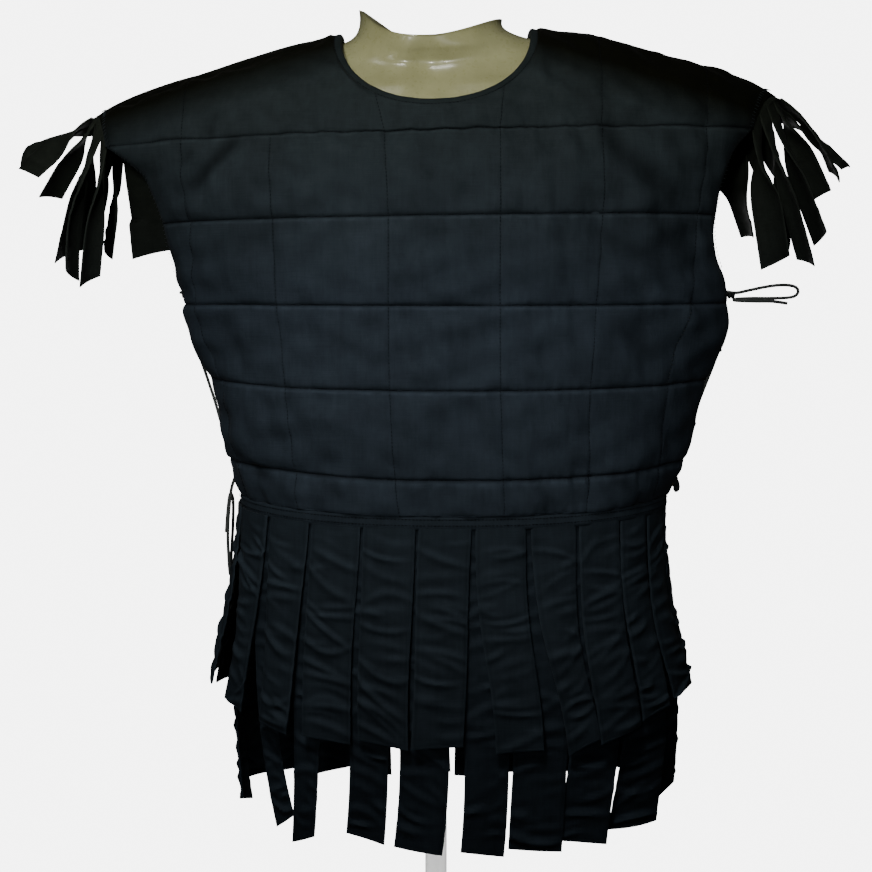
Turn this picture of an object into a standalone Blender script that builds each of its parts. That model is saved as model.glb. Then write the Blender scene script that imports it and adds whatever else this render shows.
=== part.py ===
"""Padded arming garment with two tiers of skirt straps, on a limbless torso form.

Units are metres. +Z is up and the garment's front faces -Y, so the wearer's left side is at +X.
The origin is under the middle of the round base plate, on the surface that it stands on.
"""
import math

import bmesh
import bpy
from mathutils import Vector

# Stand and torso form
BASE_RADIUS = 0.140
BASE_THICKNESS = 0.012
BASE_EDGE = 0.003
POLE_RADIUS = 0.012
FORM_BOTTOM = 0.405
SEAT_GAP = 0.0004

# The quilted body, seen from the front. Depths are how far in front of the side plane an edge lies.
FRONT_DEPTH = 0.132
BACK_DEPTH = 0.138
BODY_SQUARENESS = 2.4
BODY_WALL = 0.005
QUILT_RISE = 0.0048
QUILT_LINE_DIP = 0.55
TILT = 0.028
TILT_FROM = 0.70
TILT_FULL = 0.88
BODY_SECTIONS = (
    ("height", "left", "right", "left_depth", "right_depth", "back_left_depth", "back_right_depth"),
    (0.512, -0.210, 0.245, 0.012, 0.030, 0.026, 0.012),
    (0.552, -0.217, 0.262, 0.012, 0.030, 0.026, 0.012),
    (0.610, -0.232, 0.275, 0.012, 0.030, 0.026, 0.012),
    (0.663, -0.249, 0.295, 0.012, 0.030, 0.026, 0.012),
    (0.700, -0.260, 0.303, 0.014, 0.030, 0.026, 0.014),
    (0.730, -0.267, 0.300, 0.020, 0.032, 0.030, 0.020),
    (0.750, -0.271, 0.291, 0.030, 0.038, 0.036, 0.030),
    (0.775, -0.276, 0.285, 0.043, 0.045, 0.045, 0.045),
    (0.803, -0.281, 0.287, 0.050, 0.050, 0.050, 0.050),
    (0.827, -0.289, 0.291, 0.052, 0.052, 0.052, 0.052),
    (0.847, -0.298, 0.298, 0.054, 0.054, 0.054, 0.054),
    (0.862, -0.313, 0.306, 0.055, 0.055, 0.055, 0.055),
    (0.880, -0.338, 0.324, 0.055, 0.055, 0.055, 0.055),
)

# The quilting: each horizontal line's height at the sides, how far it sags in the middle, the rise of
# the padding above it, and where the six vertical lines cross it.
QUILT_ROWS = (
    ("row", "height", "sag", "fullness", "line_0", "line_1", "line_2", "line_3", "line_4", "line_5"),
    (0, 0.512, 0.009, 0.55, -0.196, -0.138, -0.036, 0.067, 0.149, 0.222),
    (1, 0.551, 0.012, 1.0, -0.201, -0.141, -0.040, 0.066, 0.151, 0.226),
    (2, 0.634, 0.007, 1.0, -0.219, -0.148, -0.045, 0.063, 0.151, 0.230),
    (3, 0.712, 0.002, 1.0, -0.240, -0.155, -0.046, 0.062, 0.156, 0.253),
    (4, 0.797, 0.000, 1.0, -0.246, -0.159, -0.046, 0.062, 0.163, 0.262),
    (5, 0.880, 0.000, 0.9, -0.250, -0.161, -0.050, 0.062, 0.161, 0.270),
)
CELL_ROWS = (2, 3, 3, 3, 3)
CELL_COLUMNS = (2, 3, 6, 4, 6, 3, 2)
TOP_ROWS = 6
EDGE_FULLNESS = 0.35

# Shoulders and neck
ROLL_FROM = 0.797
SHOULDER_LINE = (
    ("across", "height"),
    (0.1035, 0.9895),
    (0.147, 0.983),
    (0.200, 0.969),
    (0.240, 0.957),
    (0.275, 0.948),
    (0.315, 0.935),
    (0.357, 0.917),
)
SHOULDER_TIP = 0.357
SHOULDER_LINE_0 = -0.250
SHOULDER_LINE_1 = -0.165
SHOULDER_LINE_4 = 0.166
SHOULDER_LINE_5 = 0.276
NECK_HALF_WIDTH = 0.1035
NECK_FRONT_DROP = 0.0855
NECK_BACK_DROP = 0.034
NECK_SQUARENESS = 2.2
NECK_TURNS = (0, 3, 15, 35, 57, 76, 93, 110, 128, 149, 167, 177.3, 180)
NECK_SMOOTHING = 3
BINDING_WIDTH = 0.0065
BINDING_PROUD = 0.0012
BINDING_GAP = 0.0007
SEAM_GAP = 0.0004

# Skirt sections, below the waist
SKIRT_SECTIONS = (
    ("height", "centre", "half_width", "front", "back"),
    (0.150, 0.0170, 0.236, 0.137, 0.143),
    (0.280, 0.0190, 0.246, 0.138, 0.144),
    (0.400, 0.0165, 0.235, 0.134, 0.140),
    (0.512, 0.0175, 0.230, 0.132, 0.138),
)
BAND_HEIGHT = 0.014
BAND_OUTSET = -0.0006
BAND_WALL = 0.0086
STRAP_WALL = 0.003
UPPER_OUTSET = -0.0022
LOWER_OUTSET = -0.0077
LOWER_TUCK = -0.010

# One row a strap, from the wearer's right side across the front, then from the wearer's left across
# the back: its place round the waist from the front's middle, how far the foot leans along the skirt,
# stands out and twists, the strap's length and width, and how wide the foot is beside the top.
UPPER_STRAPS = (
    ("name", "place", "lean", "flare", "twist", "length", "width", "foot"),
    ("upper_strap_front_01", -0.2780, 0.000, 0.018, 6, 0.186, 0.050, 1.0),
    ("upper_strap_front_02", -0.2220, 0.000, 0.008, -22, 0.202, 0.050, 0.45),
    ("upper_strap_front_03", -0.1690, -0.004, 0.009, 6, 0.210, 0.046, 0.80),
    ("upper_strap_front_04", -0.1175, -0.004, 0.006, -5, 0.215, 0.051, 0.98),
    ("upper_strap_front_05", -0.0630, -0.003, 0.005, 4, 0.216, 0.052, 0.98),
    ("upper_strap_front_06", -0.0080, -0.007, 0.007, -4, 0.217, 0.052, 1.0),
    ("upper_strap_front_07", 0.0470, 0.014, 0.006, 5, 0.222, 0.050, 0.96),
    ("upper_strap_front_08", 0.1000, 0.020, 0.006, 9, 0.222, 0.046, 0.70),
    ("upper_strap_front_09", 0.1490, 0.009, 0.010, -6, 0.214, 0.045, 1.10),
    ("upper_strap_front_10", 0.1910, 0.005, 0.011, 4, 0.200, 0.035, 1.05),
    ("upper_strap_front_11", 0.2285, 0.006, 0.015, 8, 0.188, 0.034, 1.12),
    ("upper_strap_back_01", 0.2760, 0.006, 0.015, 5, 0.185, 0.052, 1.0),
    ("upper_strap_back_02", 0.3340, 0.004, 0.008, -6, 0.204, 0.054, 1.0),
    ("upper_strap_back_03", 0.3920, 0.008, 0.006, 5, 0.212, 0.054, 0.9),
    ("upper_strap_back_04", 0.4500, 0.004, 0.009, -4, 0.218, 0.054, 1.0),
    ("upper_strap_back_05", 0.5070, 0.006, 0.005, 6, 0.220, 0.054, 0.95),
    ("upper_strap_back_06", 0.5650, 0.001, 0.008, -5, 0.222, 0.054, 1.0),
    ("upper_strap_back_07", 0.6230, -0.005, 0.006, 4, 0.220, 0.054, 1.0),
    ("upper_strap_back_08", 0.6810, -0.003, 0.009, -7, 0.218, 0.054, 0.85),
    ("upper_strap_back_09", 0.7390, -0.008, 0.006, 5, 0.212, 0.053, 1.0),
    ("upper_strap_back_10", 0.7960, -0.006, 0.008, -5, 0.204, 0.053, 0.95),
    ("upper_strap_back_11", 0.8540, 0.008, 0.014, 6, 0.204, 0.052, 1.0),
)
LOWER_STRAPS = (
    ("name", "place", "lean", "flare", "twist", "length", "width", "foot"),
    ("lower_strap_front_01", -0.2600, -0.008, 0.006, 14, 0.318, 0.048, 0.9),
    ("lower_strap_front_02", -0.2020, 0.010, 0.002, -40, 0.322, 0.044, 0.45),
    ("lower_strap_front_03", -0.1440, -0.005, 0.004, 8, 0.330, 0.044, 0.65),
    ("lower_strap_front_04", -0.0865, 0.001, 0.003, -6, 0.322, 0.046, 0.85),
    ("lower_strap_front_05", -0.0290, -0.002, 0.005, 7, 0.330, 0.051, 0.92),
    ("lower_strap_front_06", 0.0290, 0.004, 0.004, -8, 0.335, 0.050, 0.9),
    ("lower_strap_front_07", 0.0865, -0.001, 0.003, 6, 0.332, 0.050, 1.0),
    ("lower_strap_front_08", 0.1440, -0.006, 0.004, 8, 0.330, 0.050, 1.05),
    ("lower_strap_front_09", 0.2020, -0.004, 0.006, 24, 0.324, 0.048, 1.15),
    ("lower_strap_front_10", 0.2600, -0.004, 0.010, 30, 0.306, 0.046, 1.0),
    ("lower_strap_back_01", 0.3170, 0.003, 0.002, -9, 0.312, 0.046, 1.0),
    ("lower_strap_back_02", 0.3750, 0.006, 0.004, 7, 0.322, 0.048, 1.0),
    ("lower_strap_back_03", 0.4330, -0.002, 0.003, -6, 0.334, 0.049, 0.9),
    ("lower_strap_back_04", 0.4900, 0.005, 0.004, 8, 0.338, 0.049, 1.0),
    ("lower_strap_back_05", 0.5480, 0.001, 0.003, -5, 0.344, 0.049, 1.0),
    ("lower_strap_back_06", 0.6060, -0.005, 0.005, 6, 0.342, 0.049, 1.0),
    ("lower_strap_back_07", 0.6630, 0.003, 0.003, -8, 0.339, 0.048, 0.85),
    ("lower_strap_back_08", 0.7210, -0.004, 0.004, 7, 0.333, 0.049, 1.0),
    ("lower_strap_back_09", 0.7790, -0.002, 0.003, -6, 0.324, 0.048, 1.0),
    ("lower_strap_back_10", 0.8360, -0.003, 0.002, 11, 0.316, 0.046, 1.0),
)
FOOT_FROM = 1.25
UPPER_STEPS = 6
LOWER_STEPS = 7

# Shoulder straps, from the front of the armhole over the tip to the back. Each starts at a share of
# the armhole's edge, with the tip at one half. The heading turns from forwards (0) through outwards
# (90) to backwards (180), pitches are degrees below level, and the turn is about its own length.
SHOULDER_WALL = 0.0026
SHOULDER_STRIP = 0.006
SHOULDER_GAP = 0.0008
SHOULDER_CUT = 0.0018
SHOULDER_STEPS = 5
SHOULDER_FRONT_ROW = 14
SHOULDER_BACK_ROW = 13
WEARERS_RIGHT_STRAPS = (
    ("start", "heading", "start_pitch", "end_pitch", "turn", "length", "width"),
    (0.00, 70, 80, 84, -48, 0.144, 0.025),
    (0.15, 58, 62, 90, -46, 0.156, 0.025),
    (0.27, 112, 70, 73, -2, 0.144, 0.036),
    (0.37, 104, 51, 57, -15, 0.098, 0.026),
    (0.45, 97, 25, 44, 61, 0.094, 0.032),
    (0.55, 99, 12, 22, 44, 0.100, 0.025),
    (0.64, 30, 60, 86, -28, 0.134, 0.038),
    (0.72, 87, 79, 82, 25, 0.109, 0.032),
    (0.803, 180, 58, 74, 7, 0.100, 0.039),
)
WEARERS_LEFT_STRAPS = (
    ("start", "heading", "start_pitch", "end_pitch", "turn", "length", "width"),
    (0.00, 118, 76, 77, -2, 0.146, 0.039),
    (0.15, 94, 70, 73, -16, 0.165, 0.025),
    (0.27, 106, 62, 65, 6, 0.155, 0.033),
    (0.37, 118, 52, 57, -32, 0.120, 0.025),
    (0.45, 88, 32, 70, 10, 0.103, 0.024),
    (0.55, 94, 26, 42, 38, 0.115, 0.025),
    (0.64, 97, 55, 91, 40, 0.154, 0.036),
    (0.72, 81, 60, 91, 25, 0.133, 0.031),
    (0.803, 128, 60, 65, 22, 0.103, 0.038),
)

# Side laces: round cords through four pairs of eyelets on each side
LACE_RADIUS = 0.0016
LACE_OUTSET = 0.0032
EYELET_HEIGHTS = (0.526, 0.585, 0.662, 0.723)
EYELET_INSET = 0.013
LACE_SPACING = 0.009
# The loop and free end of the wearer's left lace: how far out, forward and up from the top eyelet
LEFT_BOW = (
    (0.010, 0.004, 0.003), (0.022, 0.005, 0.005), (0.036, 0.006, 0.0085), (0.050, 0.006, 0.0108),
    (0.062, 0.005, 0.0108), (0.0715, 0.004, 0.0080), (0.0750, 0.003, 0.0025), (0.0715, 0.002, -0.0022),
    (0.062, 0.001, -0.0045), (0.046, 0.001, -0.0058), (0.032, 0.002, -0.0064), (0.022, 0.005, -0.0075),
    (0.0170, 0.0110, -0.0085), (0.0230, 0.0165, -0.0085), (0.036, 0.0170, -0.0085),
    (0.050, 0.014, -0.0085), (0.061, 0.012, -0.0090),
)
# The hanging loop and end of the wearer's right lace, from its bottom eyelet
RIGHT_BOW = (
    (0.004, -0.003, -0.012), (0.007, -0.005, -0.034), (0.009, -0.007, -0.060), (0.009, -0.010, -0.086),
    (0.009, -0.017, -0.105), (0.009, -0.025, -0.105), (0.009, -0.031, -0.084), (0.007, -0.032, -0.052),
    (0.006, -0.028, -0.026), (0.008, -0.021, -0.019), (0.010, -0.017, -0.034), (0.012, -0.015, -0.060),
)

# The torso form's own sections: half width, and how deep it is in front and behind
FORM_SECTIONS = (
    ("height", "half_width", "front", "back", "centre", "dip"),
    (0.405, 0.140, 0.078, 0.084, 0.010, 0.0),
    (0.411, 0.156, 0.089, 0.096, 0.010, 0.0),
    (0.430, 0.166, 0.097, 0.106, 0.010, 0.0),
    (0.500, 0.164, 0.100, 0.108, 0.010, 0.0),
    (0.580, 0.156, 0.097, 0.100, 0.009, 0.0),
    (0.660, 0.163, 0.104, 0.104, 0.006, 0.0),
    (0.740, 0.176, 0.111, 0.112, 0.003, 0.0),
    (0.810, 0.186, 0.113, 0.118, 0.0, 0.0),
    (0.860, 0.196, 0.108, 0.116, 0.0, 0.0),
    (0.900, 0.204, 0.102, 0.110, 0.0, 0.0),
    (0.930, 0.207, 0.098, 0.104, 0.0, 0.0),
    (0.946, 0.204, 0.095, 0.100, 0.0, 0.0),
    (0.957, 0.197, 0.093, 0.098, 0.0, 0.003),
    (0.9661, 0.183, 0.090, 0.096, 0.0, 0.008),
    (0.9736, 0.160, 0.088, 0.094, 0.0, 0.012),
    (0.9790, 0.126, 0.086, 0.092, 0.0, 0.015),
    (0.9814, 0.1015, 0.080, 0.086, 0.0, 0.016),
    (0.9860, 0.0866, 0.074, 0.078, 0.0, 0.017),
)
FORM_SPOKES = 36
FORM_DROP = 0.0070
FORM_CLEAR = 0.77
FORM_SQUARENESS = 2.3
NECK_WIDTH = 0.0745
NECK_FLARE = 0.0195
NECK_FLARE_FROM = 0.978
NECK_FLARE_TO = 1.000
NECK_DEPTH = 0.068
NECK_FROM = 0.93
NECK_BLEND = 0.03
NECK_TOP = 0.978
NECK_TOP_RISE = 0.028
NECK_TOP_LEAN = -0.005
NECK_RINGS = (0.35, 0.7, 1.0)

COLOURS = {
    "cotton": ((0.016, 0.022, 0.030), 0.92, 0.0),
    "trim": ((0.012, 0.016, 0.022), 0.90, 0.0),
    "lace": ((0.36, 0.40, 0.42), 0.75, 0.0),
    "form": ((0.62, 0.58, 0.40), 0.22, 0.0),
    "stand": ((0.86, 0.86, 0.85), 0.35, 0.1),
}


def clear_scene():
    """Start from an empty scene."""
    for item in list(bpy.data.objects):
        bpy.data.objects.remove(item, do_unlink=True)


def make_material(name):
    """A Principled material of one of the named colours."""
    colour, roughness, metallic = COLOURS[name]
    material = bpy.data.materials.new(name)
    material.use_nodes = True
    shader = material.node_tree.nodes["Principled BSDF"]
    shader.inputs["Base Color"].default_value = (*colour, 1.0)
    shader.inputs["Roughness"].default_value = roughness
    shader.inputs["Metallic"].default_value = metallic
    return material


def add_object(name, data, material):
    """Link new mesh or curve data as an object of the garment's collection."""
    item = bpy.data.objects.new(name, data)
    bpy.data.collections["subarmalis"].objects.link(item)
    item.data.materials.append(bpy.data.materials[material])
    return item


def mesh_object(name, points, faces, material):
    """A mesh object with its faces turned outwards."""
    mesh = bpy.data.meshes.new(name)
    mesh.from_pydata([tuple(point) for point in points], [], faces)
    shaped = bmesh.new()
    shaped.from_mesh(mesh)
    bmesh.ops.triangulate(shaped, faces=shaped.faces, quad_method="FIXED")
    bmesh.ops.recalc_face_normals(shaped, faces=shaped.faces)
    shaped.to_mesh(mesh)
    shaped.free()
    item = add_object(name, mesh, material)
    mesh.shade_smooth()
    mesh.set_sharp_from_angle(angle=math.radians(40))
    return item


def solid_wall(name, outer, inner, material):
    """A closed wall between two grids of points, outer[row][column] and inner[row][column]."""
    rows = len(outer)
    columns = len(outer[0])
    points = [point for row in outer for point in row] + [point for row in inner for point in row]
    step = rows * columns
    faces = []
    for row in range(rows - 1):
        for column in range(columns - 1):
            corner = row * columns + column
            quad = (corner, corner + 1, corner + columns + 1, corner + columns)
            faces.append(quad)
            faces.append(tuple(step + index for index in reversed(quad)))
    border = [column for column in range(columns)]
    border += [row * columns + columns - 1 for row in range(1, rows)]
    border += [(rows - 1) * columns + column for column in reversed(range(columns - 1))]
    border += [row * columns for row in reversed(range(1, rows - 1))]
    for here, there in zip(border, border[1:] + border[:1]):
        faces.append((there, here, step + here, step + there))
    return mesh_object(name, points, faces, material)


def thick_sheet(name, points, faces, thickness, material):
    """An open surface given a wall by Solidify, half to each side."""
    item = mesh_object(name, points, faces, material)
    wall = item.modifiers.new("wall", "SOLIDIFY")
    wall.thickness = thickness
    wall.offset = 0.0
    wall.use_even_offset = True
    return item


def loft(name, sections, material, loop=False, ends=None):
    """A closed skin through rings of points; ends are the middle points that close it."""
    points = [point for section in sections for point in section]
    size = len(sections[0])
    faces = []
    count = len(sections)
    for ring in range(count if loop else count - 1):
        low = ring * size
        high = (ring + 1) % count * size
        for corner in range(size):
            after = (corner + 1) % size
            faces.append((low + after, high + after, high + corner, low + corner))
    if ends:
        first = len(points)
        points = points + list(ends)
        last_ring = (count - 1) * size
        for corner in range(size):
            after = (corner + 1) % size
            faces.append((after, corner, first))
            faces.append((last_ring + corner, last_ring + after, first + 1))
    return mesh_object(name, points, faces, material)


def along(table, column, place):
    """A column's value at a place between a table's rows, on a smooth curve through them."""
    index = table[0].index(column)
    keys = [row[0] for row in table[1:]]
    values = [row[index] for row in table[1:]]
    if place <= keys[0]:
        return values[0]
    if place >= keys[-1]:
        return values[-1]
    low = max(row for row in range(len(keys) - 1) if keys[row] <= place)

    def slope(row):
        before = max(row - 1, 0)
        after = min(row + 1, len(keys) - 1)
        return (values[after] - values[before]) / (keys[after] - keys[before])

    span = keys[low + 1] - keys[low]
    part = (place - keys[low]) / span
    square = part * part
    cube = square * part
    start = (2 * cube - 3 * square + 1) * values[low] + (cube - 2 * square + part) * span * slope(low)
    end = (3 * square - 2 * cube) * values[low + 1] + (cube - square) * span * slope(low + 1)
    return start + end


def ease(part):
    """A smooth step from 0 to 1."""
    part = min(max(part, 0.0), 1.0)
    return part * part * (3 - 2 * part)


def power(value, exponent):
    """A signed power, for rounded sections."""
    return math.copysign(abs(value) ** exponent, value)


def tilted(point):
    """The shoulders sit a little higher on the wearer's left."""
    share = ease((point.z - TILT_FROM) / (TILT_FULL - TILT_FROM))
    return Vector((point.x, point.y, point.z + TILT * point.x * share))


def body_width(height):
    """Centre and half width of the body's rounded section at a height."""
    left = along(BODY_SECTIONS, "left", height)
    right = along(BODY_SECTIONS, "right", height)
    left_reach = edge_reach(along(BODY_SECTIONS, "left_depth", height), FRONT_DEPTH)
    right_reach = edge_reach(along(BODY_SECTIONS, "right_depth", height), FRONT_DEPTH)
    half = (right - left) / (left_reach + right_reach)
    return left + half * left_reach, half


def edge_reach(edge_depth, depth):
    """How far out, as a share of the half width, the section is at a depth."""
    return (1 - (edge_depth / depth) ** BODY_SQUARENESS) ** (1 / BODY_SQUARENESS)


def turn_at(across, centre, half):
    """The section's turn, in radians, from the front at 0 to a side at a right angle."""
    share = min(max((across - centre) / half, -1.0), 1.0)
    return math.asin(power(share, BODY_SQUARENESS / 2))


def shoulder_height(across):
    """Height of the shoulder seam, level between the neck's corners."""
    return along(SHOULDER_LINE, "height", abs(across))


def roll_angle(across, height):
    """How far the cloth has rolled over towards the shoulder seam, as an angle."""
    share = (height - ROLL_FROM) / (shoulder_height(across) - ROLL_FROM)
    return math.asin(min(max(share, 0.0), 1.0))


def body_depth(across, height, depth):
    """Distance of the body's surface from the side plane at a place seen from the front."""
    centre, half = body_width(height)
    turn = turn_at(across, centre, half)
    return depth * math.cos(turn) ** (2 / BODY_SQUARENESS) * math.cos(roll_angle(across, height))


def panel_columns(place, depth, edges):
    """Turns of every mesh column at a place on the quilting, counted in rows from the hem."""
    height = along(QUILT_ROWS, "height", place)
    centre, half = body_width(height)
    left_turn = -math.acos(power(along(BODY_SECTIONS, edges[0], height) / depth, BODY_SQUARENESS / 2))
    right_turn = math.acos(power(along(BODY_SECTIONS, edges[1], height) / depth, BODY_SQUARENESS / 2))
    lines = [left_turn]
    for line in range(6):
        lines.append(turn_at(along(QUILT_ROWS, "line_%d" % line, place), centre, half))
    lines.append(right_turn)
    turns = [left_turn]
    for cell, steps in enumerate(CELL_COLUMNS):
        for step in range(1, steps + 1):
            turns.append(lines[cell] + (lines[cell + 1] - lines[cell]) * step / steps)
    return height, centre, half, turns


def neck_curve(turn, drop):
    """Across and height of the neck's edge, from the wearer's right corner at 0 to the left at 180."""
    angle = math.radians(turn)
    across = -NECK_HALF_WIDTH * power(math.cos(angle), 2 / NECK_SQUARENESS)
    return across, shoulder_height(0) - drop * power(math.sin(angle), 2 / NECK_SQUARENESS)


def top_edge(drop):
    """Where each mesh column ends: along the shoulder seam, round the neck and along the other."""
    right = [-SHOULDER_TIP, (-SHOULDER_TIP + SHOULDER_LINE_0) / 2, SHOULDER_LINE_0]
    right += [SHOULDER_LINE_0 + (SHOULDER_LINE_1 - SHOULDER_LINE_0) * step / 3 for step in (1, 2, 3)]
    right += [(SHOULDER_LINE_1 - NECK_HALF_WIDTH) / 2]
    left = [(SHOULDER_LINE_4 + NECK_HALF_WIDTH) / 2, SHOULDER_LINE_4]
    left += [SHOULDER_LINE_4 + (SHOULDER_LINE_5 - SHOULDER_LINE_4) * step / 3 for step in (1, 2, 3)]
    left += [(SHOULDER_TIP + SHOULDER_LINE_5) / 2, SHOULDER_TIP]
    ends = [(across, shoulder_height(across)) for across in right]
    ends += [neck_curve(turn, drop) for turn in NECK_TURNS]
    ends += [(across, shoulder_height(across)) for across in left]
    return ends


def panel_surface(side):
    """Grid of the quilting-line surface of one panel; side is -1 in front and 1 behind."""
    depth = FRONT_DEPTH if side < 0 else BACK_DEPTH
    drop = NECK_FRONT_DROP if side < 0 else NECK_BACK_DROP
    edges = ("left_depth", "right_depth") if side < 0 else ("back_left_depth", "back_right_depth")
    grid = []
    for cell, steps in enumerate(CELL_ROWS):
        for step in range(steps):
            grid.append(body_row(cell + step / steps, depth, edges, side))
    last = body_row(len(CELL_ROWS), depth, edges, side)
    grid.append(last)
    turns = panel_columns(len(CELL_ROWS), depth, edges)[3]
    ends = top_edge(drop)
    for step in range(1, TOP_ROWS + 1):
        share = step / TOP_ROWS
        row = []
        for start, turn, (end_across, end_height) in zip(last, turns, ends):
            first_roll = roll_angle(start.x, start.z)
            end_roll = roll_angle(end_across, end_height)
            roll = first_roll + (end_roll - first_roll) * share
            across = start.x + (end_across - start.x) * share
            height = ROLL_FROM + (shoulder_height(across) - ROLL_FROM) * math.sin(roll)
            out = depth * math.cos(turn) ** (2 / BODY_SQUARENESS) * math.cos(roll)
            row.append(Vector((across, side * max(out, SEAM_GAP / 2), height)))
        grid.append(row)
    return [[tilted(point) for point in row] for row in grid]


def body_row(place, depth, edges, side):
    """One row of surface points across a panel."""
    height, centre, half, turns = panel_columns(place, depth, edges)
    sag = along(QUILT_ROWS, "sag", place)
    row = []
    for turn in turns:
        across = centre + half * power(math.sin(turn), 2 / BODY_SQUARENESS)
        low = height - sag * math.cos(turn) ** 2
        out = depth * math.cos(turn) ** (2 / BODY_SQUARENESS) * math.cos(roll_angle(across, low))
        row.append(Vector((across, side * out, low)))
    return row


def edge_normals(edge, normals):
    """Outward directions at a panel's top edge: upright on the shoulder seams, turning evenly round the neck."""
    seams = [place for place in range(len(edge)) if abs(edge[place].y) < SEAM_GAP]
    for place in seams:
        beside = [other for other in (place - 1, place, place + 1) if other in seams]
        way = edge[beside[-1]] - edge[beside[0]]
        normals[place] = Vector((-way.z, 0.0, way.x)).normalized()
    neck = [place for place in range(len(edge)) if place not in seams]
    for _ in range(NECK_SMOOTHING):
        smoothed = [(normals[place - 1] + normals[place] + normals[place + 1]).normalized() for place in neck]
        for place, normal in zip(neck, smoothed):
            normals[place] = normal
    return normals


def grid_normals(grid, side):
    """Outward direction at each point of a panel's grid, upright along the shoulder seams."""
    rows = len(grid)
    columns = len(grid[0])
    normals = []
    for row in range(rows):
        line = []
        for column in range(columns):
            right = grid[row][min(column + 1, columns - 1)] - grid[row][max(column - 1, 0)]
            up = grid[min(row + 1, rows - 1)][column] - grid[max(row - 1, 0)][column]
            line.append((right.cross(up) * -side).normalized())
        normals.append(line)
    normals[-1] = edge_normals(grid[-1], normals[-1])
    return normals


def pillow(part):
    """Rise of the padding between two quilting lines, 0 at the lines and 1 between them."""
    return max(math.sin(math.pi * part), 0.0) ** 0.6


def quilt_rise(row_cell, row_part, column_cell, column_part):
    """How far the padding stands out of the quilting-line surface."""
    fullness = along(QUILT_ROWS, "fullness", row_cell)
    across = 1 - QUILT_LINE_DIP * (1 - pillow(column_part))
    last_cell = len(CELL_COLUMNS) - 1
    if column_cell == 0 and column_part == 0 or column_cell == last_cell and column_part == 1:
        return 0.0
    if column_cell in (0, last_cell):
        across *= EDGE_FULLNESS
    return QUILT_RISE * fullness * pillow(row_part) * across


def panel_parts():
    """Cell and part of every mesh row and column, for the padding."""
    rows = [(cell, step / steps) for cell, steps in enumerate(CELL_ROWS) for step in range(steps)]
    rows += [(len(CELL_ROWS), step / TOP_ROWS) for step in range(TOP_ROWS + 1)]
    columns = [(0, 0.0)]
    for cell, steps in enumerate(CELL_COLUMNS):
        columns += [(cell, step / steps) for step in range(1, steps + 1)]
    return rows, columns


def make_panel(name, side):
    """A quilted panel: padding raised on the outside over a plain inside."""
    grid = panel_surface(side)
    normals = grid_normals(grid, side)
    rows, columns = panel_parts()
    outer = []
    inner = []
    for points, directions, (row_cell, row_part) in zip(grid, normals, rows):
        rises = [quilt_rise(row_cell, row_part, *column) for column in columns]
        outer.append([point + way * rise for point, way, rise in zip(points, directions, rises)])
        inner.append([point - way * BODY_WALL for point, way in zip(points, directions)])
    solid_wall(name, outer, inner, "cotton")
    return grid, normals


def neck_loop(front, back):
    """Points and outward directions once round the neck's edge, from the wearer's right corner."""
    first = 7
    last = first + len(NECK_TURNS)
    loop = list(zip(front[0][-1][first:last], front[1][-1][first:last]))
    loop += list(reversed(list(zip(back[0][-1][first:last], back[1][-1][first:last]))))[1:-1]
    return loop


def make_binding(front, back):
    """The strip that binds the neck's edge, a little thicker than the panels."""
    loop = neck_loop(front, back)
    sections = []
    for index, (point, normal) in enumerate(loop):
        ahead = loop[(index + 1) % len(loop)][0] - point
        behind = point - loop[index - 1][0]
        way = (ahead.normalized() + behind.normalized()).normalized()
        inwards = normal.cross(way).normalized()
        centre = Vector((0, 0, point.z))
        if inwards.dot(centre - point) < 0:
            inwards = -inwards
        near = point + inwards * BINDING_GAP
        far = point + inwards * (BINDING_GAP + BINDING_WIDTH)
        top = normal * BINDING_PROUD
        under = normal * -(BODY_WALL + BINDING_PROUD * 0.5)
        sections.append([near + top, far + top * 0.5, far + under, near + under])
    loft("neck_binding", sections, "trim", loop=True)


def make_band(name, panel):
    """The band under a panel's hem that carries both tiers of straps."""
    grid, normals = panel
    outer = [[], []]
    inner = [[], []]
    for point, normal in zip(grid[0], normals[0]):
        way = Vector((normal.x, normal.y, 0)).normalized()
        for row, drop in enumerate((SEAM_GAP, SEAM_GAP + BAND_HEIGHT)):
            low = point - Vector((0, 0, drop))
            outer[row].append(low + way * BAND_OUTSET)
            inner[row].append(low + way * (BAND_OUTSET - BAND_WALL))
    solid_wall(name, outer, inner, "trim")


def skirt_ring(height, outset):
    """Points round the skirt's section with their distance from the front's middle, going to +X."""
    centre = along(SKIRT_SECTIONS, "centre", height)
    half = along(SKIRT_SECTIONS, "half_width", height) + outset
    front = along(SKIRT_SECTIONS, "front", height) + outset
    back = along(SKIRT_SECTIONS, "back", height) + outset
    ring = []
    distance = 0.0
    count = 360
    for step in range(count + 1):
        turn = 2 * math.pi * step / count
        depth = front if math.cos(turn) > 0 else back
        across = centre + half * power(math.sin(turn), 2 / BODY_SQUARENESS)
        point = Vector((across, -depth * power(math.cos(turn), 2 / BODY_SQUARENESS), height))
        if ring:
            distance += (point - ring[-1][1]).length
        ring.append((distance, point, turn))
    return ring


def on_ring(ring, distance):
    """Point, way along and turn on a skirt section at a distance from the front's middle."""
    total = ring[-1][0]
    distance = distance % total
    low = 0
    high = len(ring) - 1
    while high - low > 1:
        middle = (low + high) // 2
        if ring[middle][0] <= distance:
            low = middle
        else:
            high = middle
    here, point, turn = ring[low]
    there, after, next_turn = ring[high]
    part = (distance - here) / max(there - here, 1e-9)
    return point.lerp(after, part), (after - point).normalized(), turn + (next_turn - turn) * part


def hem_height(turn):
    """Height of a panel's hem, which sags a little in the middle."""
    sag = along(QUILT_ROWS, "sag", 0)
    return along(QUILT_ROWS, "height", 0) - sag * math.cos(turn) ** 2


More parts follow.
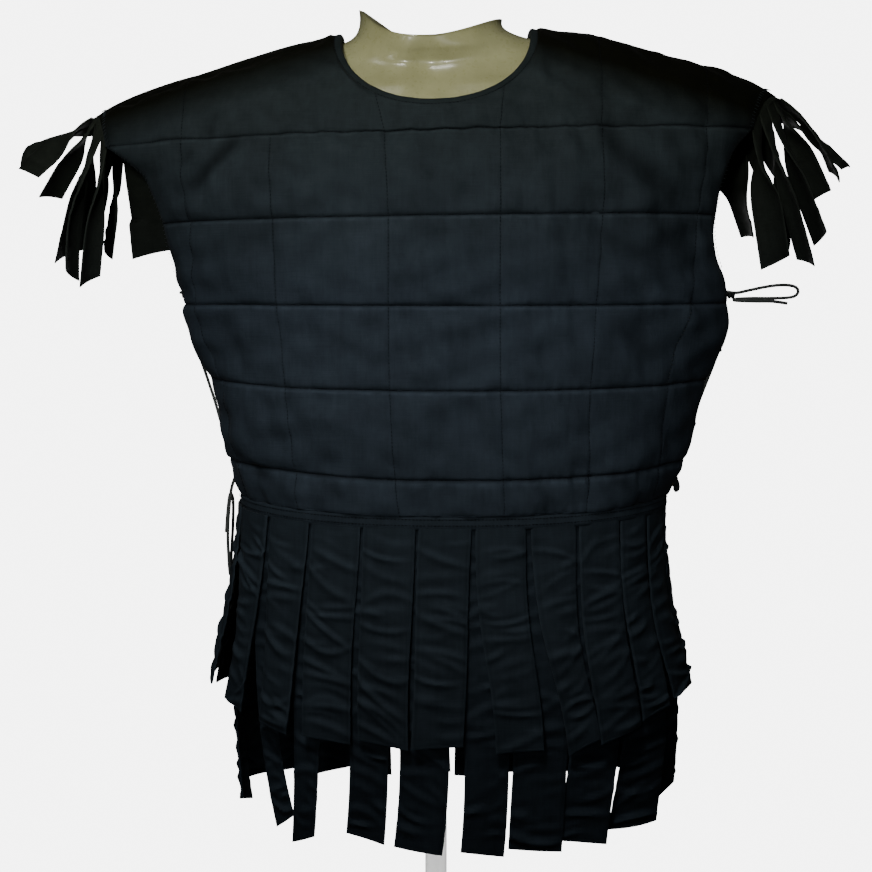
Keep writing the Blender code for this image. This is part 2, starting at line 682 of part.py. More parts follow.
def make_strap(row, names, outset, tuck, steps):
    """A flat strap that hangs from the band, at its place round the skirt's waist."""
    values = dict(zip(names, row))
    place = values["place"]
    waist = along(QUILT_ROWS, "height", 0)
    waist_ring = skirt_ring(waist, outset)
    turn = on_ring(waist_ring, place)[2]
    start = hem_height(turn) - 2 * SEAM_GAP - BAND_HEIGHT
    points = []
    for step in range(steps + 1):
        part = step / steps
        height = start - values["length"] * part
        out = outset + (values["flare"] + tuck) * part ** 1.5
        ring = skirt_ring(height, out)
        spread = ring[-1][0] / waist_ring[-1][0]
        middle = place * spread + values["lean"] * part ** 1.3
        centre, way, middle_turn = on_ring(ring, middle)
        normal = Vector((way.y, -way.x, 0))
        twist = math.radians(values["twist"]) * part ** 2
        width = values["width"] * (1 + (values["foot"] - 1) * ease(part * FOOT_FROM))
        for across in (-0.5, 0.0, 0.5):
            point, _, turn_here = on_ring(ring, middle + across * width)
            offset = point - centre
            side = offset.dot(way)
            rise = offset.dot(normal)
            moved = centre + way * (side * math.cos(twist) - rise * math.sin(twist))
            moved += normal * (side * math.sin(twist) + rise * math.cos(twist))
            moved.z += (hem_height(turn_here) - hem_height(middle_turn)) * (1 - part)
            points.append(moved)
    faces = []
    for step in range(steps):
        for column in range(2):
            corner = step * 3 + column
            faces.append((corner, corner + 3, corner + 4, corner + 1))
    thick_sheet(values["name"], points, faces, STRAP_WALL, "cotton")


def make_tiers():
    """Both tiers of straps, side by side round the skirt."""
    tiers = (
        (UPPER_STRAPS, UPPER_OUTSET, 0.0, UPPER_STEPS),
        (LOWER_STRAPS, LOWER_OUTSET, LOWER_TUCK, LOWER_STEPS),
    )
    for table, outset, tuck, steps in tiers:
        for row in table[1:]:
            make_strap(row, table[0], outset, tuck, steps)


def shoulder_edge(front, back, column):
    """Corner points and outward directions along the armhole's upper edge, from front to back."""
    edge = []
    for (grid, normals), first in ((front, SHOULDER_FRONT_ROW), (back, SHOULDER_BACK_ROW)):
        line = []
        neighbour = 1 if column == 0 else -2
        for row in range(first, len(grid)):
            point = grid[row][column] - normals[row][column] * BODY_WALL / 2
            above = grid[min(row + 1, len(grid) - 1)][column] - grid[row - 1][column]
            out = above.cross(normals[row][column]).normalized()
            if out.dot(grid[row][column] - grid[row][neighbour]) < 0:
                out = -out
            line.append((point, out))
        edge.append(line)
    tip = edge[0][-1]
    outwards = Vector((math.copysign(1, tip[0].x), 0, -0.35)).normalized()
    front_half = edge[0][:-1] + [(tip[0], outwards)]
    return front_half, [(tip[0], outwards)] + list(reversed(edge[1][:-1]))


def on_edge(halves, share):
    """Point, outward direction and way along the armhole's edge, from its front end to its back end."""
    half = halves[0] if share <= 0.5 else halves[1]
    share = share * 2 if share <= 0.5 else share * 2 - 1
    lengths = [(there[0] - here[0]).length for here, there in zip(half, half[1:])]
    distance = share * sum(lengths)
    index = 0
    while index < len(lengths) - 1 and distance > lengths[index]:
        distance -= lengths[index]
        index += 1
    (start, start_out), (end, end_out) = half[index], half[index + 1]
    part = distance / lengths[index]
    return start.lerp(end, part), start_out.lerp(end_out, part).normalized(), end - start


def make_shoulder_straps(name, front, back, column, table):
    """One narrow strip round the shoulder's edge with its row of straps, cut as one comb."""
    halves = shoulder_edge(front, back, column)
    side = math.copysign(1, halves[0][0][0].x)
    rows = table[1:]
    total = sum((there[0] - here[0]).length for half in halves for here, there in zip(half, half[1:]))
    cut = SHOULDER_CUT / total
    starts = [row[0] for row in rows] + [1.0]
    points = []
    faces = []
    rings = []
    for index in range(len(rows)):
        for share in (0.0, 0.5, 1.0):
            root_share = (starts[index + 1] - starts[index] - cut) * share
            point, out, way = on_edge(halves, starts[index] + cut / 2 + root_share)
            near = point + out * SHOULDER_GAP
            rings.append((near, near + out * SHOULDER_STRIP, way.normalized()))
    for near, far, _ in rings:
        points += [near, far]
    for index in range(len(rings) - 1):
        faces.append((index * 2, index * 2 + 1, index * 2 + 3, index * 2 + 2))
    for index, row in enumerate(rows):
        values = dict(zip(table[0], row))
        heading = math.radians(values["heading"])
        plan = Vector((side * math.sin(heading), -math.cos(heading), 0))
        beside = Vector((plan.y, -plan.x, 0)) * -side
        above = [(index * 3 + place) * 2 + 1 for place in range(3)]
        centre = points[above[1]].copy()
        root = (points[above[2]] - points[above[0]]).length
        start_way = rings[index * 3 + 1][2]
        if beside.dot(start_way) < 0:
            beside = -beside
        for step in range(1, SHOULDER_STEPS + 1):
            part = step / SHOULDER_STEPS
            middle = (step - 0.5) / SHOULDER_STEPS
            pitch_down = values["start_pitch"] + (values["end_pitch"] - values["start_pitch"]) * middle
            angle = math.radians(pitch_down)
            way = plan * math.cos(angle) + Vector((0, 0, -math.sin(angle)))
            centre = centre + way * values["length"] / SHOULDER_STEPS
            spread = start_way.lerp(beside, ease(part * 1.6)).normalized()
            face = spread.cross(way)
            if face.x * side < 0:
                face = -face
            turn = math.radians(values["turn"]) * ease(part * 1.4)
            spread = spread * math.cos(turn) + face * math.sin(turn)
            width = root + (values["width"] - root) * ease(part * 2)
            first = len(points)
            points += [centre + spread * width * share for share in (-0.5, 0.0, 0.5)]
            below = [first, first + 1, first + 2]
            for place in range(2):
                faces.append((above[place], below[place], below[place + 1], above[place + 1]))
            above = below
    thick_sheet(name, points, faces, SHOULDER_WALL, "cotton")


def side_point(side, forward, height, outset):
    """A point beside the body: forward is how far in front of the side plane it lies."""
    centre, half = body_width(height)
    depth = FRONT_DEPTH if forward > 0 else BACK_DEPTH
    share = min(abs(forward) / depth, 1.0)
    reach = (1 - share ** BODY_SQUARENESS) ** (1 / BODY_SQUARENESS)
    normal = Vector((
        side * reach ** (BODY_SQUARENESS - 1) / half,
        -math.copysign(share ** (BODY_SQUARENESS - 1) / depth, forward),
        0,
    )).normalized()
    point = Vector((centre + side * half * reach, -forward, height))
    return tilted(point) + normal * outset


def smooth_route(corners, spacing):
    """Evenly spaced points on a smooth curve through a route's own points."""
    dense = []
    for index in range(len(corners) - 1):
        before = corners[max(index - 1, 0)]
        start = corners[index]
        end = corners[index + 1]
        after = corners[min(index + 2, len(corners) - 1)]
        for step in range(12):
            part = step / 12
            bend = (end - before) * part
            bend += (2 * before - 5 * start + 4 * end - after) * part ** 2
            bend += (3 * start - before - 3 * end + after) * part ** 3
            dense.append(start + bend * 0.5)
    dense.append(corners[-1])
    length = sum((there - here).length for here, there in zip(dense, dense[1:]))
    count = max(round(length / spacing), 2)
    even = [dense[0]]
    wanted = length / count
    walked = 0.0
    for here, there in zip(dense, dense[1:]):
        step = (there - here).length
        while walked + step >= wanted * len(even) - 1e-9 and len(even) < count:
            even.append(here.lerp(there, (wanted * len(even) - walked) / step))
        walked += step
    return even + [dense[-1]]


def lace_route(side, bow, from_top):
    """Ladder lacing over the gap at one side, then the bow, from the knot at the first eyelet."""
    edges = ("right_depth", "back_right_depth") if side > 0 else ("left_depth", "back_left_depth")
    heights = list(reversed(EYELET_HEIGHTS)) if from_top else list(EYELET_HEIGHTS)
    corners = []
    for index, height in enumerate(heights):
        front = along(BODY_SECTIONS, edges[0], height) + EYELET_INSET
        back = -along(BODY_SECTIONS, edges[1], height) - EYELET_INSET
        ends = (front, back) if index % 2 == 0 else (back, front)
        for share in (0.0, 0.35, 0.65, 1.0):
            forward = ends[0] + (ends[1] - ends[0]) * share
            corners.append(side_point(side, forward, height, LACE_OUTSET))
        if index < len(heights) - 1:
            next_height = heights[index + 1]
            for share in (0.3, 0.7):
                rise = height + (next_height - height) * share
                corners.append(side_point(side, ends[1], rise, LACE_OUTSET))
    knot = corners[-1]
    for out, forward, up in bow:
        corners.append(knot + Vector((side * out, -forward, up)))
    return smooth_route(corners, LACE_SPACING)


def make_cord(name, route):
    """A round cord along its route, with filled ends."""
    curve = bpy.data.curves.new(name, "CURVE")
    curve.dimensions = "3D"
    curve.bevel_depth = LACE_RADIUS
    curve.bevel_resolution = 2
    curve.use_fill_caps = True
    spline = curve.splines.new("POLY")
    spline.points.add(len(route) - 1)
    for knot, point in zip(spline.points, route):
        knot.co = (*point, 1.0)
    add_object(name, curve, "lace")


def form_depth(across, height, side):
    """Depth of the form at a place: its own section, kept clear inside the garment's shoulders."""
    half = along(FORM_SECTIONS, "half_width", height)
    centre = along(FORM_SECTIONS, "centre", height)
    own = along(FORM_SECTIONS, "front" if side < 0 else "back", height)
    share = min(abs(across - centre) / half, 1.0)
    section = own * (1 - share ** FORM_SQUARENESS) ** (1 / FORM_SQUARENESS)
    if height > ROLL_FROM:
        cloth = body_depth(across, height + FORM_DROP, FRONT_DEPTH if side < 0 else BACK_DEPTH)
        section = min(section, cloth * FORM_CLEAR)
    if height < NECK_FROM:
        return section
    flare = 1 - ease((height - NECK_FLARE_FROM) / (NECK_FLARE_TO - NECK_FLARE_FROM))
    inside = max(1 - (across / (NECK_WIDTH + NECK_FLARE * flare)) ** 2, 0.0)
    return max(section, NECK_DEPTH * math.sqrt(inside) * ease((height - NECK_FROM) / NECK_BLEND))


def make_form():
    """The torso form: chest, shoulders with rounded ends, and a short neck with a saddle-shaped top."""
    sections = []
    for row in FORM_SECTIONS[1:]:
        height, half, _, _, centre, dip = row
        ring = []
        for spoke in range(FORM_SPOKES):
            turn = 2 * math.pi * spoke / FORM_SPOKES
            side = -1 if math.cos(turn) >= 0 else 1
            across = centre + half * power(math.sin(turn), 0.9)
            level = height - dip * (1 - ((across - centre) / half) ** 2)
            depth = form_depth(across, level, side)
            if abs(math.cos(turn)) < 1e-6:
                depth = 0.0
            ring.append(tilted(Vector((across, side * depth, level))))
        sections.append(ring)
    rim = []
    for spoke in range(FORM_SPOKES):
        turn = 2 * math.pi * spoke / FORM_SPOKES
        across = NECK_WIDTH * math.sin(turn)
        share = across / NECK_WIDTH
        height = NECK_TOP + NECK_TOP_RISE * share ** 2 + NECK_TOP_LEAN * share
        rim.append(Vector((across, -NECK_DEPTH * math.cos(turn), height)))
    last = sections[-1]
    for share in NECK_RINGS:
        pull = 1 - (1 - share) ** 2
        ring = []
        for low, high in zip(last, rim):
            point = low.lerp(high, pull)
            point.z = low.z + (high.z - low.z) * share
            ring.append(point)
        sections.append(ring)
    bottom = Vector((FORM_SECTIONS[1][4], 0, FORM_BOTTOM))
    top = Vector((0, 0, NECK_TOP))
    loft("torso_form", sections, "form", ends=(bottom, top))


def make_stand():
    """A slim pole under the form, on a round base plate with eased edges."""
    pole_bottom = BASE_THICKNESS + SEAT_GAP
    pole_top = FORM_BOTTOM - SEAT_GAP
    bpy.ops.mesh.primitive_cylinder_add(
        vertices=24, radius=POLE_RADIUS, depth=pole_top - pole_bottom,
        location=(0, 0, (pole_top + pole_bottom) / 2))
    pole = bpy.context.object
    pole.name = "stand_pole"
    bpy.ops.mesh.primitive_cylinder_add(
        vertices=48, radius=BASE_RADIUS, depth=BASE_THICKNESS, location=(0, 0, BASE_THICKNESS / 2))
    base = bpy.context.object
    base.name = "stand_base"
    rounding = base.modifiers.new("eased_edge", "BEVEL")
    rounding.width = BASE_EDGE
    rounding.segments = 2
    rounding.limit_method = "ANGLE"
    for item in (pole, base):
        for collection in list(item.users_collection):
            collection.objects.unlink(item)
        bpy.data.collections["subarmalis"].objects.link(item)
        item.data.materials.append(bpy.data.materials["stand"])
        item.data.shade_smooth()
        item.data.set_sharp_from_angle(angle=math.radians(40))


clear_scene()
garment = bpy.data.collections.new("subarmalis")
bpy.context.scene.collection.children.link(garment)
for colour_name in COLOURS:
    make_material(colour_name)
front_panel = make_panel("front_panel", -1)
back_panel = make_panel("back_panel", 1)
make_binding(front_panel, back_panel)
make_band("front_skirt_band", front_panel)
make_band("back_skirt_band", back_panel)
make_tiers()
make_shoulder_straps("shoulder_straps_right", front_panel, back_panel, 0, WEARERS_RIGHT_STRAPS)
make_shoulder_straps("shoulder_straps_left", front_panel, back_panel, -1, WEARERS_LEFT_STRAPS)
make_cord("lace_right", lace_route(-1, RIGHT_BOW, True))
make_cord("lace_left", lace_route(1, LEFT_BOW, False))
make_form()
make_stand()
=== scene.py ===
"""Looks of the quilted arming garment with two tiers of skirt straps, on its torso form."""

import math

import bpy
import numpy as np
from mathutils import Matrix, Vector


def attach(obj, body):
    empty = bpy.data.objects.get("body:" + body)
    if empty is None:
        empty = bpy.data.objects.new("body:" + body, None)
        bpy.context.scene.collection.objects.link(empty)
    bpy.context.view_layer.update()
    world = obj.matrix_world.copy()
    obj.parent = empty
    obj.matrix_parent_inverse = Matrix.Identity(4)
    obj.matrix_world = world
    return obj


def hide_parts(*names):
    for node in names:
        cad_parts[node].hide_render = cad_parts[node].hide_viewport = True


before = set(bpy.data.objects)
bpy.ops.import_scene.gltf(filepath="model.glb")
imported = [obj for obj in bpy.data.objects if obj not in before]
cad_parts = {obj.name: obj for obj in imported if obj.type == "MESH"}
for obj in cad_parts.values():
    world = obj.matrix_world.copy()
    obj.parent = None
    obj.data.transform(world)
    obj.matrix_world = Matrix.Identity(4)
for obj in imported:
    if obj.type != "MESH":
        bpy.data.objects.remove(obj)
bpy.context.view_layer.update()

# The camera stands at the height of the chest, about a step and a half away, and looks slightly down.
camera_data = bpy.data.cameras.new("camera")
camera_data.sensor_width = 36.0
camera_data.lens = 55.9
camera = bpy.data.objects.new("camera", camera_data)
camera.location = (0.0, -1.45, 0.72)
LOOK_DOWN = 5.94
camera.rotation_euler = (math.radians(90 - LOOK_DOWN), 0.0, 0.0)
bpy.context.scene.collection.objects.link(camera)
bpy.context.scene.camera = camera


# Side laces: thin round cotton cords, dark grey, threaded through the eyelets of the open sides like
# the rungs of a ladder. Each is tied off at its last eyelet in a loop with one free end.
FRONT_DEPTH = 0.132
BACK_DEPTH = 0.138
SQUARENESS = 2.4
TILT = 0.028
TILT_FROM = 0.70
TILT_SPAN = 0.18
BODY_SECTIONS = (
    ("height", "left", "right", "left_depth", "right_depth", "back_left_depth", "back_right_depth"),
    (0.512, -0.210, 0.245, 0.012, 0.030, 0.026, 0.012),
    (0.552, -0.217, 0.262, 0.012, 0.030, 0.026, 0.012),
    (0.610, -0.232, 0.275, 0.012, 0.030, 0.026, 0.012),
    (0.663, -0.249, 0.295, 0.012, 0.030, 0.026, 0.012),
    (0.700, -0.260, 0.303, 0.014, 0.030, 0.026, 0.014),
    (0.730, -0.267, 0.300, 0.020, 0.032, 0.030, 0.020),
    (0.750, -0.271, 0.291, 0.030, 0.038, 0.036, 0.030),
    (0.775, -0.276, 0.285, 0.043, 0.045, 0.045, 0.045),
    (0.803, -0.281, 0.287, 0.050, 0.050, 0.050, 0.050),
    (0.827, -0.289, 0.291, 0.052, 0.052, 0.052, 0.052),
    (0.847, -0.298, 0.298, 0.054, 0.054, 0.054, 0.054),
    (0.862, -0.313, 0.306, 0.055, 0.055, 0.055, 0.055),
    (0.880, -0.338, 0.324, 0.055, 0.055, 0.055, 0.055),
)
LACE_RADIUS = 0.0017
LACE_OUTSET = 0.0032
LACE_SPACING = 0.003
CURVE_STEPS = 12
EYELET_HEIGHTS = (0.526, 0.585, 0.662, 0.723)
EYELET_INSET = 0.013
# Where a lace's route has its own points: along a rung over the gap, and between two rungs
RUNG_SHARES = (0.0, 0.35, 0.65, 1.0)
RISE_SHARES = (0.3, 0.7)
LEFT_BOW = (
    (0.010, 0.004, -0.001), (0.022, 0.005, 0.0015), (0.036, 0.006, 0.0045), (0.050, 0.006, 0.0066),
    (0.062, 0.005, 0.0068), (0.0705, 0.004, 0.0048), (0.0735, 0.003, 0.0000), (0.0700, 0.002, -0.0045),
    (0.061, 0.001, -0.0062), (0.044, 0.001, -0.0066), (0.026, 0.002, -0.0066), (0.0105, 0.005, -0.0072),
    (0.0055, 0.0110, -0.0085), (0.0120, 0.0165, -0.0092), (0.028, 0.0170, -0.0096),
    (0.045, 0.014, -0.0098), (0.060, 0.012, -0.0118),
)
RIGHT_BOW = (
    (0.004, -0.003, -0.012), (0.007, -0.005, -0.034), (0.009, -0.007, -0.060), (0.009, -0.010, -0.086),
    (0.009, -0.017, -0.105), (0.009, -0.025, -0.105), (0.009, -0.031, -0.084), (0.007, -0.032, -0.052),
    (0.006, -0.028, -0.026), (0.008, -0.021, -0.019), (0.010, -0.017, -0.034), (0.012, -0.015, -0.060),
)


def along(table, column, place):
    """A column's value at one or many places between a table's rows, on a smooth curve through them."""
    keys = np.array([row[0] for row in table[1:]], float)
    values = np.array([row[table[0].index(column)] for row in table[1:]], float)
    rows = np.arange(len(keys))
    before = np.maximum(rows - 1, 0)
    after = np.minimum(rows + 1, len(keys) - 1)
    slopes = (values[after] - values[before]) / (keys[after] - keys[before])
    place = np.clip(place, keys[0], keys[-1])
    low = np.clip(np.searchsorted(keys, place, side="right") - 1, 0, len(keys) - 2)
    span = keys[low + 1] - keys[low]
    part = (place - keys[low]) / span
    square = part ** 2
    cube = part ** 3
    start = (2 * cube - 3 * square + 1) * values[low] + (cube - 2 * square + part) * span * slopes[low]
    end = (3 * square - 2 * cube) * values[low + 1] + (cube - square) * span * slopes[low + 1]
    return start + end


def ease(part):
    """A smooth step from 0 to 1."""
    part = np.clip(part, 0.0, 1.0)
    return part * part * (3 - 2 * part)


def power(value, exponent):
    """A signed power, for rounded sections."""
    return np.copysign(np.abs(value) ** exponent, value)


def tilted(points):
    """The shoulders sit a little higher on the wearer's left."""
    points = np.array(points, float)
    points[..., 2] += TILT * points[..., 0] * ease((points[..., 2] - TILT_FROM) / TILT_SPAN)
    return points


def body_width(height):
    """Centre and half width of the body's rounded section at a height."""
    left = along(BODY_SECTIONS, "left", height)
    right = along(BODY_SECTIONS, "right", height)
    left_share = (along(BODY_SECTIONS, "left_depth", height) / FRONT_DEPTH) ** SQUARENESS
    right_share = (along(BODY_SECTIONS, "right_depth", height) / FRONT_DEPTH) ** SQUARENESS
    left_reach = (1 - left_share) ** (1 / SQUARENESS)
    right_reach = (1 - right_share) ** (1 / SQUARENESS)
    half = (right - left) / (left_reach + right_reach)
    return left + half * left_reach, half


def side_point(side, forward, height, outset):
    """A point beside the body: forward is how far in front of the side plane it lies."""
    centre, half = body_width(height)
    depth = FRONT_DEPTH if forward > 0 else BACK_DEPTH
    share = min(abs(forward) / depth, 1.0)
    reach = (1 - share ** SQUARENESS) ** (1 / SQUARENESS)
    slope = -math.copysign(share ** (SQUARENESS - 1) / depth, forward)
    normal = Vector((side * reach ** (SQUARENESS - 1) / half, slope, 0)).normalized()
    return Vector(tilted((centre + side * half * reach, -forward, height))) + normal * outset, normal


def side_depths(side, height):
    """How far in front of and behind the side plane the two panels' edges lie."""
    name = "right_depth" if side > 0 else "left_depth"
    return (float(along(BODY_SECTIONS, name, height)) + EYELET_INSET,
            -float(along(BODY_SECTIONS, "back_" + name, height)) - EYELET_INSET)


def at_lengths(wanted, walked, rows):
    """What a path's rows say at lengths along it."""
    return np.stack([np.interp(wanted, walked, column) for column in np.transpose(rows)], axis=-1)


def smooth_route(corners, spacing):
    """Evenly spaced points on a smooth curve through a route's own points."""
    dense = []
    for index in range(len(corners) - 1):
        before = corners[max(index - 1, 0)]
        start = corners[index]
        end = corners[index + 1]
        after = corners[min(index + 2, len(corners) - 1)]
        for step in range(CURVE_STEPS):
            part = step / CURVE_STEPS
            bend = (end - before) * part
            bend += (2 * before - 5 * start + 4 * end - after) * part ** 2
            bend += (3 * start - before - 3 * end + after) * part ** 3
            dense.append(start + bend * 0.5)
    dense.append(corners[-1])
    steps = [(there - here).length for here, there in zip(dense, dense[1:])]
    walked = np.concatenate([[0], np.cumsum(steps)])
    count = max(round(walked[-1] / spacing), 2)
    wanted = np.linspace(0, walked[-1], count + 1)
    return at_lengths(wanted, walked, np.array(dense)), walked[-1]


def lace_corners(side, bow, from_top):
    """Ladder lacing over the gap at one side, then the bow, from the knot at the first eyelet."""
    heights = EYELET_HEIGHTS[::-1] if from_top else EYELET_HEIGHTS
    corners = []
    for index, height in enumerate(heights):
        ends = side_depths(side, height)[::1 if index % 2 == 0 else -1]
        for share in RUNG_SHARES:
            forward = ends[0] + (ends[1] - ends[0]) * share
            corners.append(side_point(side, forward, height, LACE_OUTSET)[0])
        if index < len(heights) - 1:
            for share in RISE_SHARES:
                rise = height + (heights[index + 1] - height) * share
                corners.append(side_point(side, ends[1], rise, LACE_OUTSET)[0])
    knot = corners[-1]
    return corners + [knot + Vector((side * out, -forward, up)) for out, forward, up in bow]


class Shade:
    """One value in a material's node tree. Arithmetic on it adds the tree's Math nodes."""

    def __init__(self, tree, socket=None):
        self.tree = tree
        self.socket = socket

    def node(self, kind, settings=None, sockets=None, out=0):
        """Adds a node, with its settings first and then a value or a link for each socket."""
        node = self.tree.nodes.new(kind)
        for name, value in (settings or {}).items():
            setattr(node, name, value)
        for name, value in (sockets or {}).items():
            if isinstance(value, Shade):
                self.tree.links.new(value.socket, node.inputs[name])
            else:
                node.inputs[name].default_value = value
        return Shade(self.tree, node.outputs[out])

    def maths(self, operation, *values):
        """A Math node on values or links."""
        return self.node("ShaderNodeMath", {"operation": operation}, dict(enumerate(values)))

    def __add__(self, other):
        return self.maths("ADD", self, other)

    def __sub__(self, other):
        return self.maths("SUBTRACT", self, other)

    def __rsub__(self, other):
        return self.maths("SUBTRACT", other, self)

    def __mul__(self, other):
        return self.maths("MULTIPLY", self, other)

    __radd__ = __add__
    __rmul__ = __mul__

    def clipped(self):
        """This value kept between 0 and 1."""
        return self.node("ShaderNodeClamp", None, {"Value": self})

    def mix(self, first, second):
        """This value as the factor between two colours."""
        sockets = {0: self, 6: first, 7: second}
        return self.node("ShaderNodeMix", {"data_type": "RGBA"}, sockets, out=2)

    def scaled(self, colour):
        """A colour, or a linked one, brightened by this value."""
        sockets = {0: colour, "Scale": self}
        return self.node("ShaderNodeVectorMath", {"operation": "SCALE"}, sockets)

    def noise(self, place, scale, detail=2.0, roughness=0.5):
        """Smooth noise between 0 and 1, its scale in bumps a metre."""
        sockets = {"Vector": place, "Scale": scale, "Detail": detail, "Roughness": roughness}
        return self.node("ShaderNodeTexNoise", None, sockets)

    def stretched(self, place, factors):
        """A position with each axis scaled by its own factor."""
        return self.node("ShaderNodeVectorMath", {"operation": "MULTIPLY"}, {0: place, 1: factors})


def start_material(name, constants):
    """A new Principled material, with its fixed values, and what its nodes are made with."""
    material = bpy.data.materials.new(name)
    material.use_nodes = True
    tree = material.node_tree
    shader = tree.nodes["Principled BSDF"]
    for socket, value in constants.items():
        shader.inputs[socket].default_value = value
    maker = Shade(tree)
    place = maker.node("ShaderNodeTexCoord", None, None, out="Object")
    return material, shader, maker, place


def feed(maker, shader, **links):
    """Links values to the shader's sockets, named with underscores for spaces."""
    for name, value in links.items():
        maker.tree.links.new(value.socket, shader.inputs[name.replace("_", " ")])


PLIES = (900.0, 900.0, 420.0)
lace_cotton, lace_shader, maker, place = start_material("lace_cotton", {"Sheen Weight": 0.15})
plies = maker.noise(maker.stretched(place, PLIES), 1.0)
paleness = maker.noise(place, 60.0)
tone = 0.6 + 0.5 * plies + 0.3 * paleness
feed(maker, lace_shader, Base_Color=tone.scaled((0.030, 0.036, 0.033)), Roughness=0.7 + 0.25 * plies)
plies_bump = maker.node("ShaderNodeBump", None, {"Strength": 0.6, "Distance": 0.0004, "Height": plies})
feed(maker, lace_shader, Normal=plies_bump)


# The knot's cord is a darker copy of the lace's cotton: painted shade in the knot's tight turns
knot_shaded_cotton, knot_shader, maker, place = start_material("knot_shaded_cotton", {"Specular IOR Level": 0.2})
plies = maker.noise(maker.stretched(place, PLIES), 1.0)
feed(maker, knot_shader, Base_Color=(0.6 + 0.8 * plies).scaled((0.008, 0.010, 0.010)))
feed(maker, knot_shader, Roughness=0.7 + 0.25 * plies)
# A knot's turns, how far its cord winds out from the middle, and its length along the cord
KNOT_STEPS = 36
KNOT_TURN = 4.4 * math.pi
KNOT_WIDTH = 0.0026
KNOT_LENGTH = 0.0075
TUBE_SIDES = 8


def link_object(name, data, material):
    """A new object in the scene, in one material."""
    item = bpy.data.objects.new(name, data)
    bpy.context.scene.collection.objects.link(item)
    item.data.materials.append(material)
    return item


def new_mesh(name, points, faces):
    """A mesh from rows of points and faces of any size."""
    mesh = bpy.data.meshes.new(name)
    faces = [tuple(map(int, face)) for face in faces]
    mesh.from_pydata(np.asarray(points, float).tolist(), [], faces)
    return mesh


def ring_faces(rings, size, closed=False):
    """Quads between neighbouring rings of points, and from the last to the first if closed."""
    quads = []
    for ring in range(rings if closed else rings - 1):
        low = ring * size + np.arange(size)
        high = (ring + 1) % rings * size + np.arange(size)
        quads.append(np.stack([low, np.roll(low, -1), np.roll(high, -1), high], axis=1))
    return np.concatenate(quads)


def add_piece(name, points, faces, material, node=None):
    """A smooth-shaded piece that rides on the root body."""
    mesh = new_mesh(name, points, faces)
    mesh.shade_smooth()
    piece = link_object(name, mesh, material)
    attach(piece, "root")
    if node:
        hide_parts(node)
    return piece


def make_lace(name, side, bow, from_top):
    """One lace as a round cord that is its own free end."""
    corners = lace_corners(side, bow, from_top)
    route, length = smooth_route(corners, LACE_SPACING)
    curve = bpy.data.curves.new(name, "CURVE")
    curve.dimensions = "3D"
    curve.bevel_depth = LACE_RADIUS
    curve.bevel_resolution = 3
    curve.use_fill_caps = True
    spline = curve.splines.new("POLY")
    spline.points.add(len(route) - 1)
    for knot, point in zip(spline.points, route):
        knot.co = (*point, 1.0)
    lace = link_object(name + "_cord", curve, lace_cotton)
    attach(lace, "root")
    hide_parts(name)
    return corners


def make_knot(name, centre, way):
    """A tight knot: the cord wound twice round itself at an eyelet."""
    up = Vector((0, 0, 1))
    beside = way.cross(up).normalized()
    points = []
    for step in range(KNOT_STEPS + 1):
        turn = KNOT_TURN * step / KNOT_STEPS
        out = beside * math.cos(turn) + up * math.sin(turn)
        middle = centre + out * KNOT_WIDTH + way * (step / KNOT_STEPS - 0.5) * KNOT_LENGTH
        for bend in range(TUBE_SIDES):
            tube = 2 * math.pi * bend / TUBE_SIDES
            points.append(middle + (out * math.cos(tube) + way * math.sin(tube)) * LACE_RADIUS)
    add_piece(name, points, ring_faces(KNOT_STEPS + 1, TUBE_SIDES), knot_shaded_cotton)


make_lace("lace_right", -1, RIGHT_BOW, True)
left_route = make_lace("lace_left", 1, LEFT_BOW, False)
upper_tie = left_route[-1 - len(LEFT_BOW)]
for name, eyelet, offset, way in (
        ("upper_left_knot", upper_tie, (0.004, -0.002, -0.003), (0.97, -0.2, -0.1)),
        ("lower_left_knot", left_route[0], (0.001, -0.002, -0.004), (0.1, -0.3, -0.9))):
    make_knot(name, eyelet + Vector(offset), Vector(way).normalized())


# The torso form: a smooth limbless display form, moulded in cream fibreglass and polished. Its neck
# ends in a saddle-shaped cut. It carries the garment by the shoulders and stands on the pole.
FORM_SECTIONS = (
    ("height", "half_width", "front", "back", "centre", "dip"),
    (0.405, 0.140, 0.078, 0.084, 0.010, 0.0),
    (0.411, 0.156, 0.089, 0.096, 0.010, 0.0),
    (0.430, 0.166, 0.097, 0.106, 0.010, 0.0),
    (0.500, 0.164, 0.100, 0.108, 0.010, 0.0),
    (0.580, 0.156, 0.097, 0.100, 0.009, 0.0),
    (0.660, 0.163, 0.104, 0.104, 0.006, 0.0),
    (0.740, 0.176, 0.111, 0.112, 0.003, 0.0),
    (0.810, 0.186, 0.113, 0.118, 0.0, 0.0),
    (0.860, 0.196, 0.108, 0.116, 0.0, 0.0),
    (0.900, 0.204, 0.102, 0.110, 0.0, 0.0),
    (0.930, 0.207, 0.098, 0.104, 0.0, 0.0),
    (0.946, 0.204, 0.095, 0.100, 0.0, 0.0),
    (0.957, 0.197, 0.093, 0.098, 0.0, 0.003),
    (0.9661, 0.183, 0.090, 0.096, 0.0, 0.008),
    (0.9736, 0.160, 0.088, 0.094, 0.0, 0.012),
    (0.9790, 0.126, 0.086, 0.092, 0.0, 0.015),
    (0.9814, 0.1015, 0.080, 0.086, 0.0, 0.016),
    (0.9860, 0.0866, 0.074, 0.078, 0.0, 0.017),
)
FORM_SPOKES = 120
RINGS_A_SECTION = 5
FORM_SQUARENESS = 2.3
FORM_DROP = 0.007
FORM_CLEAR = 0.77
CLOTH_DEPTHS = {-1: FRONT_DEPTH, 1: BACK_DEPTH}
NECK_FROM = 0.93
NECK_BLEND = 0.03
NECK_HALF = 0.0745
NECK_FLARE = 0.0195
NECK_FLARE_FROM = 0.978
NECK_FLARE_SPAN = 0.022
THROAT_FROM = 0.915
THROAT_SPAN = 0.02
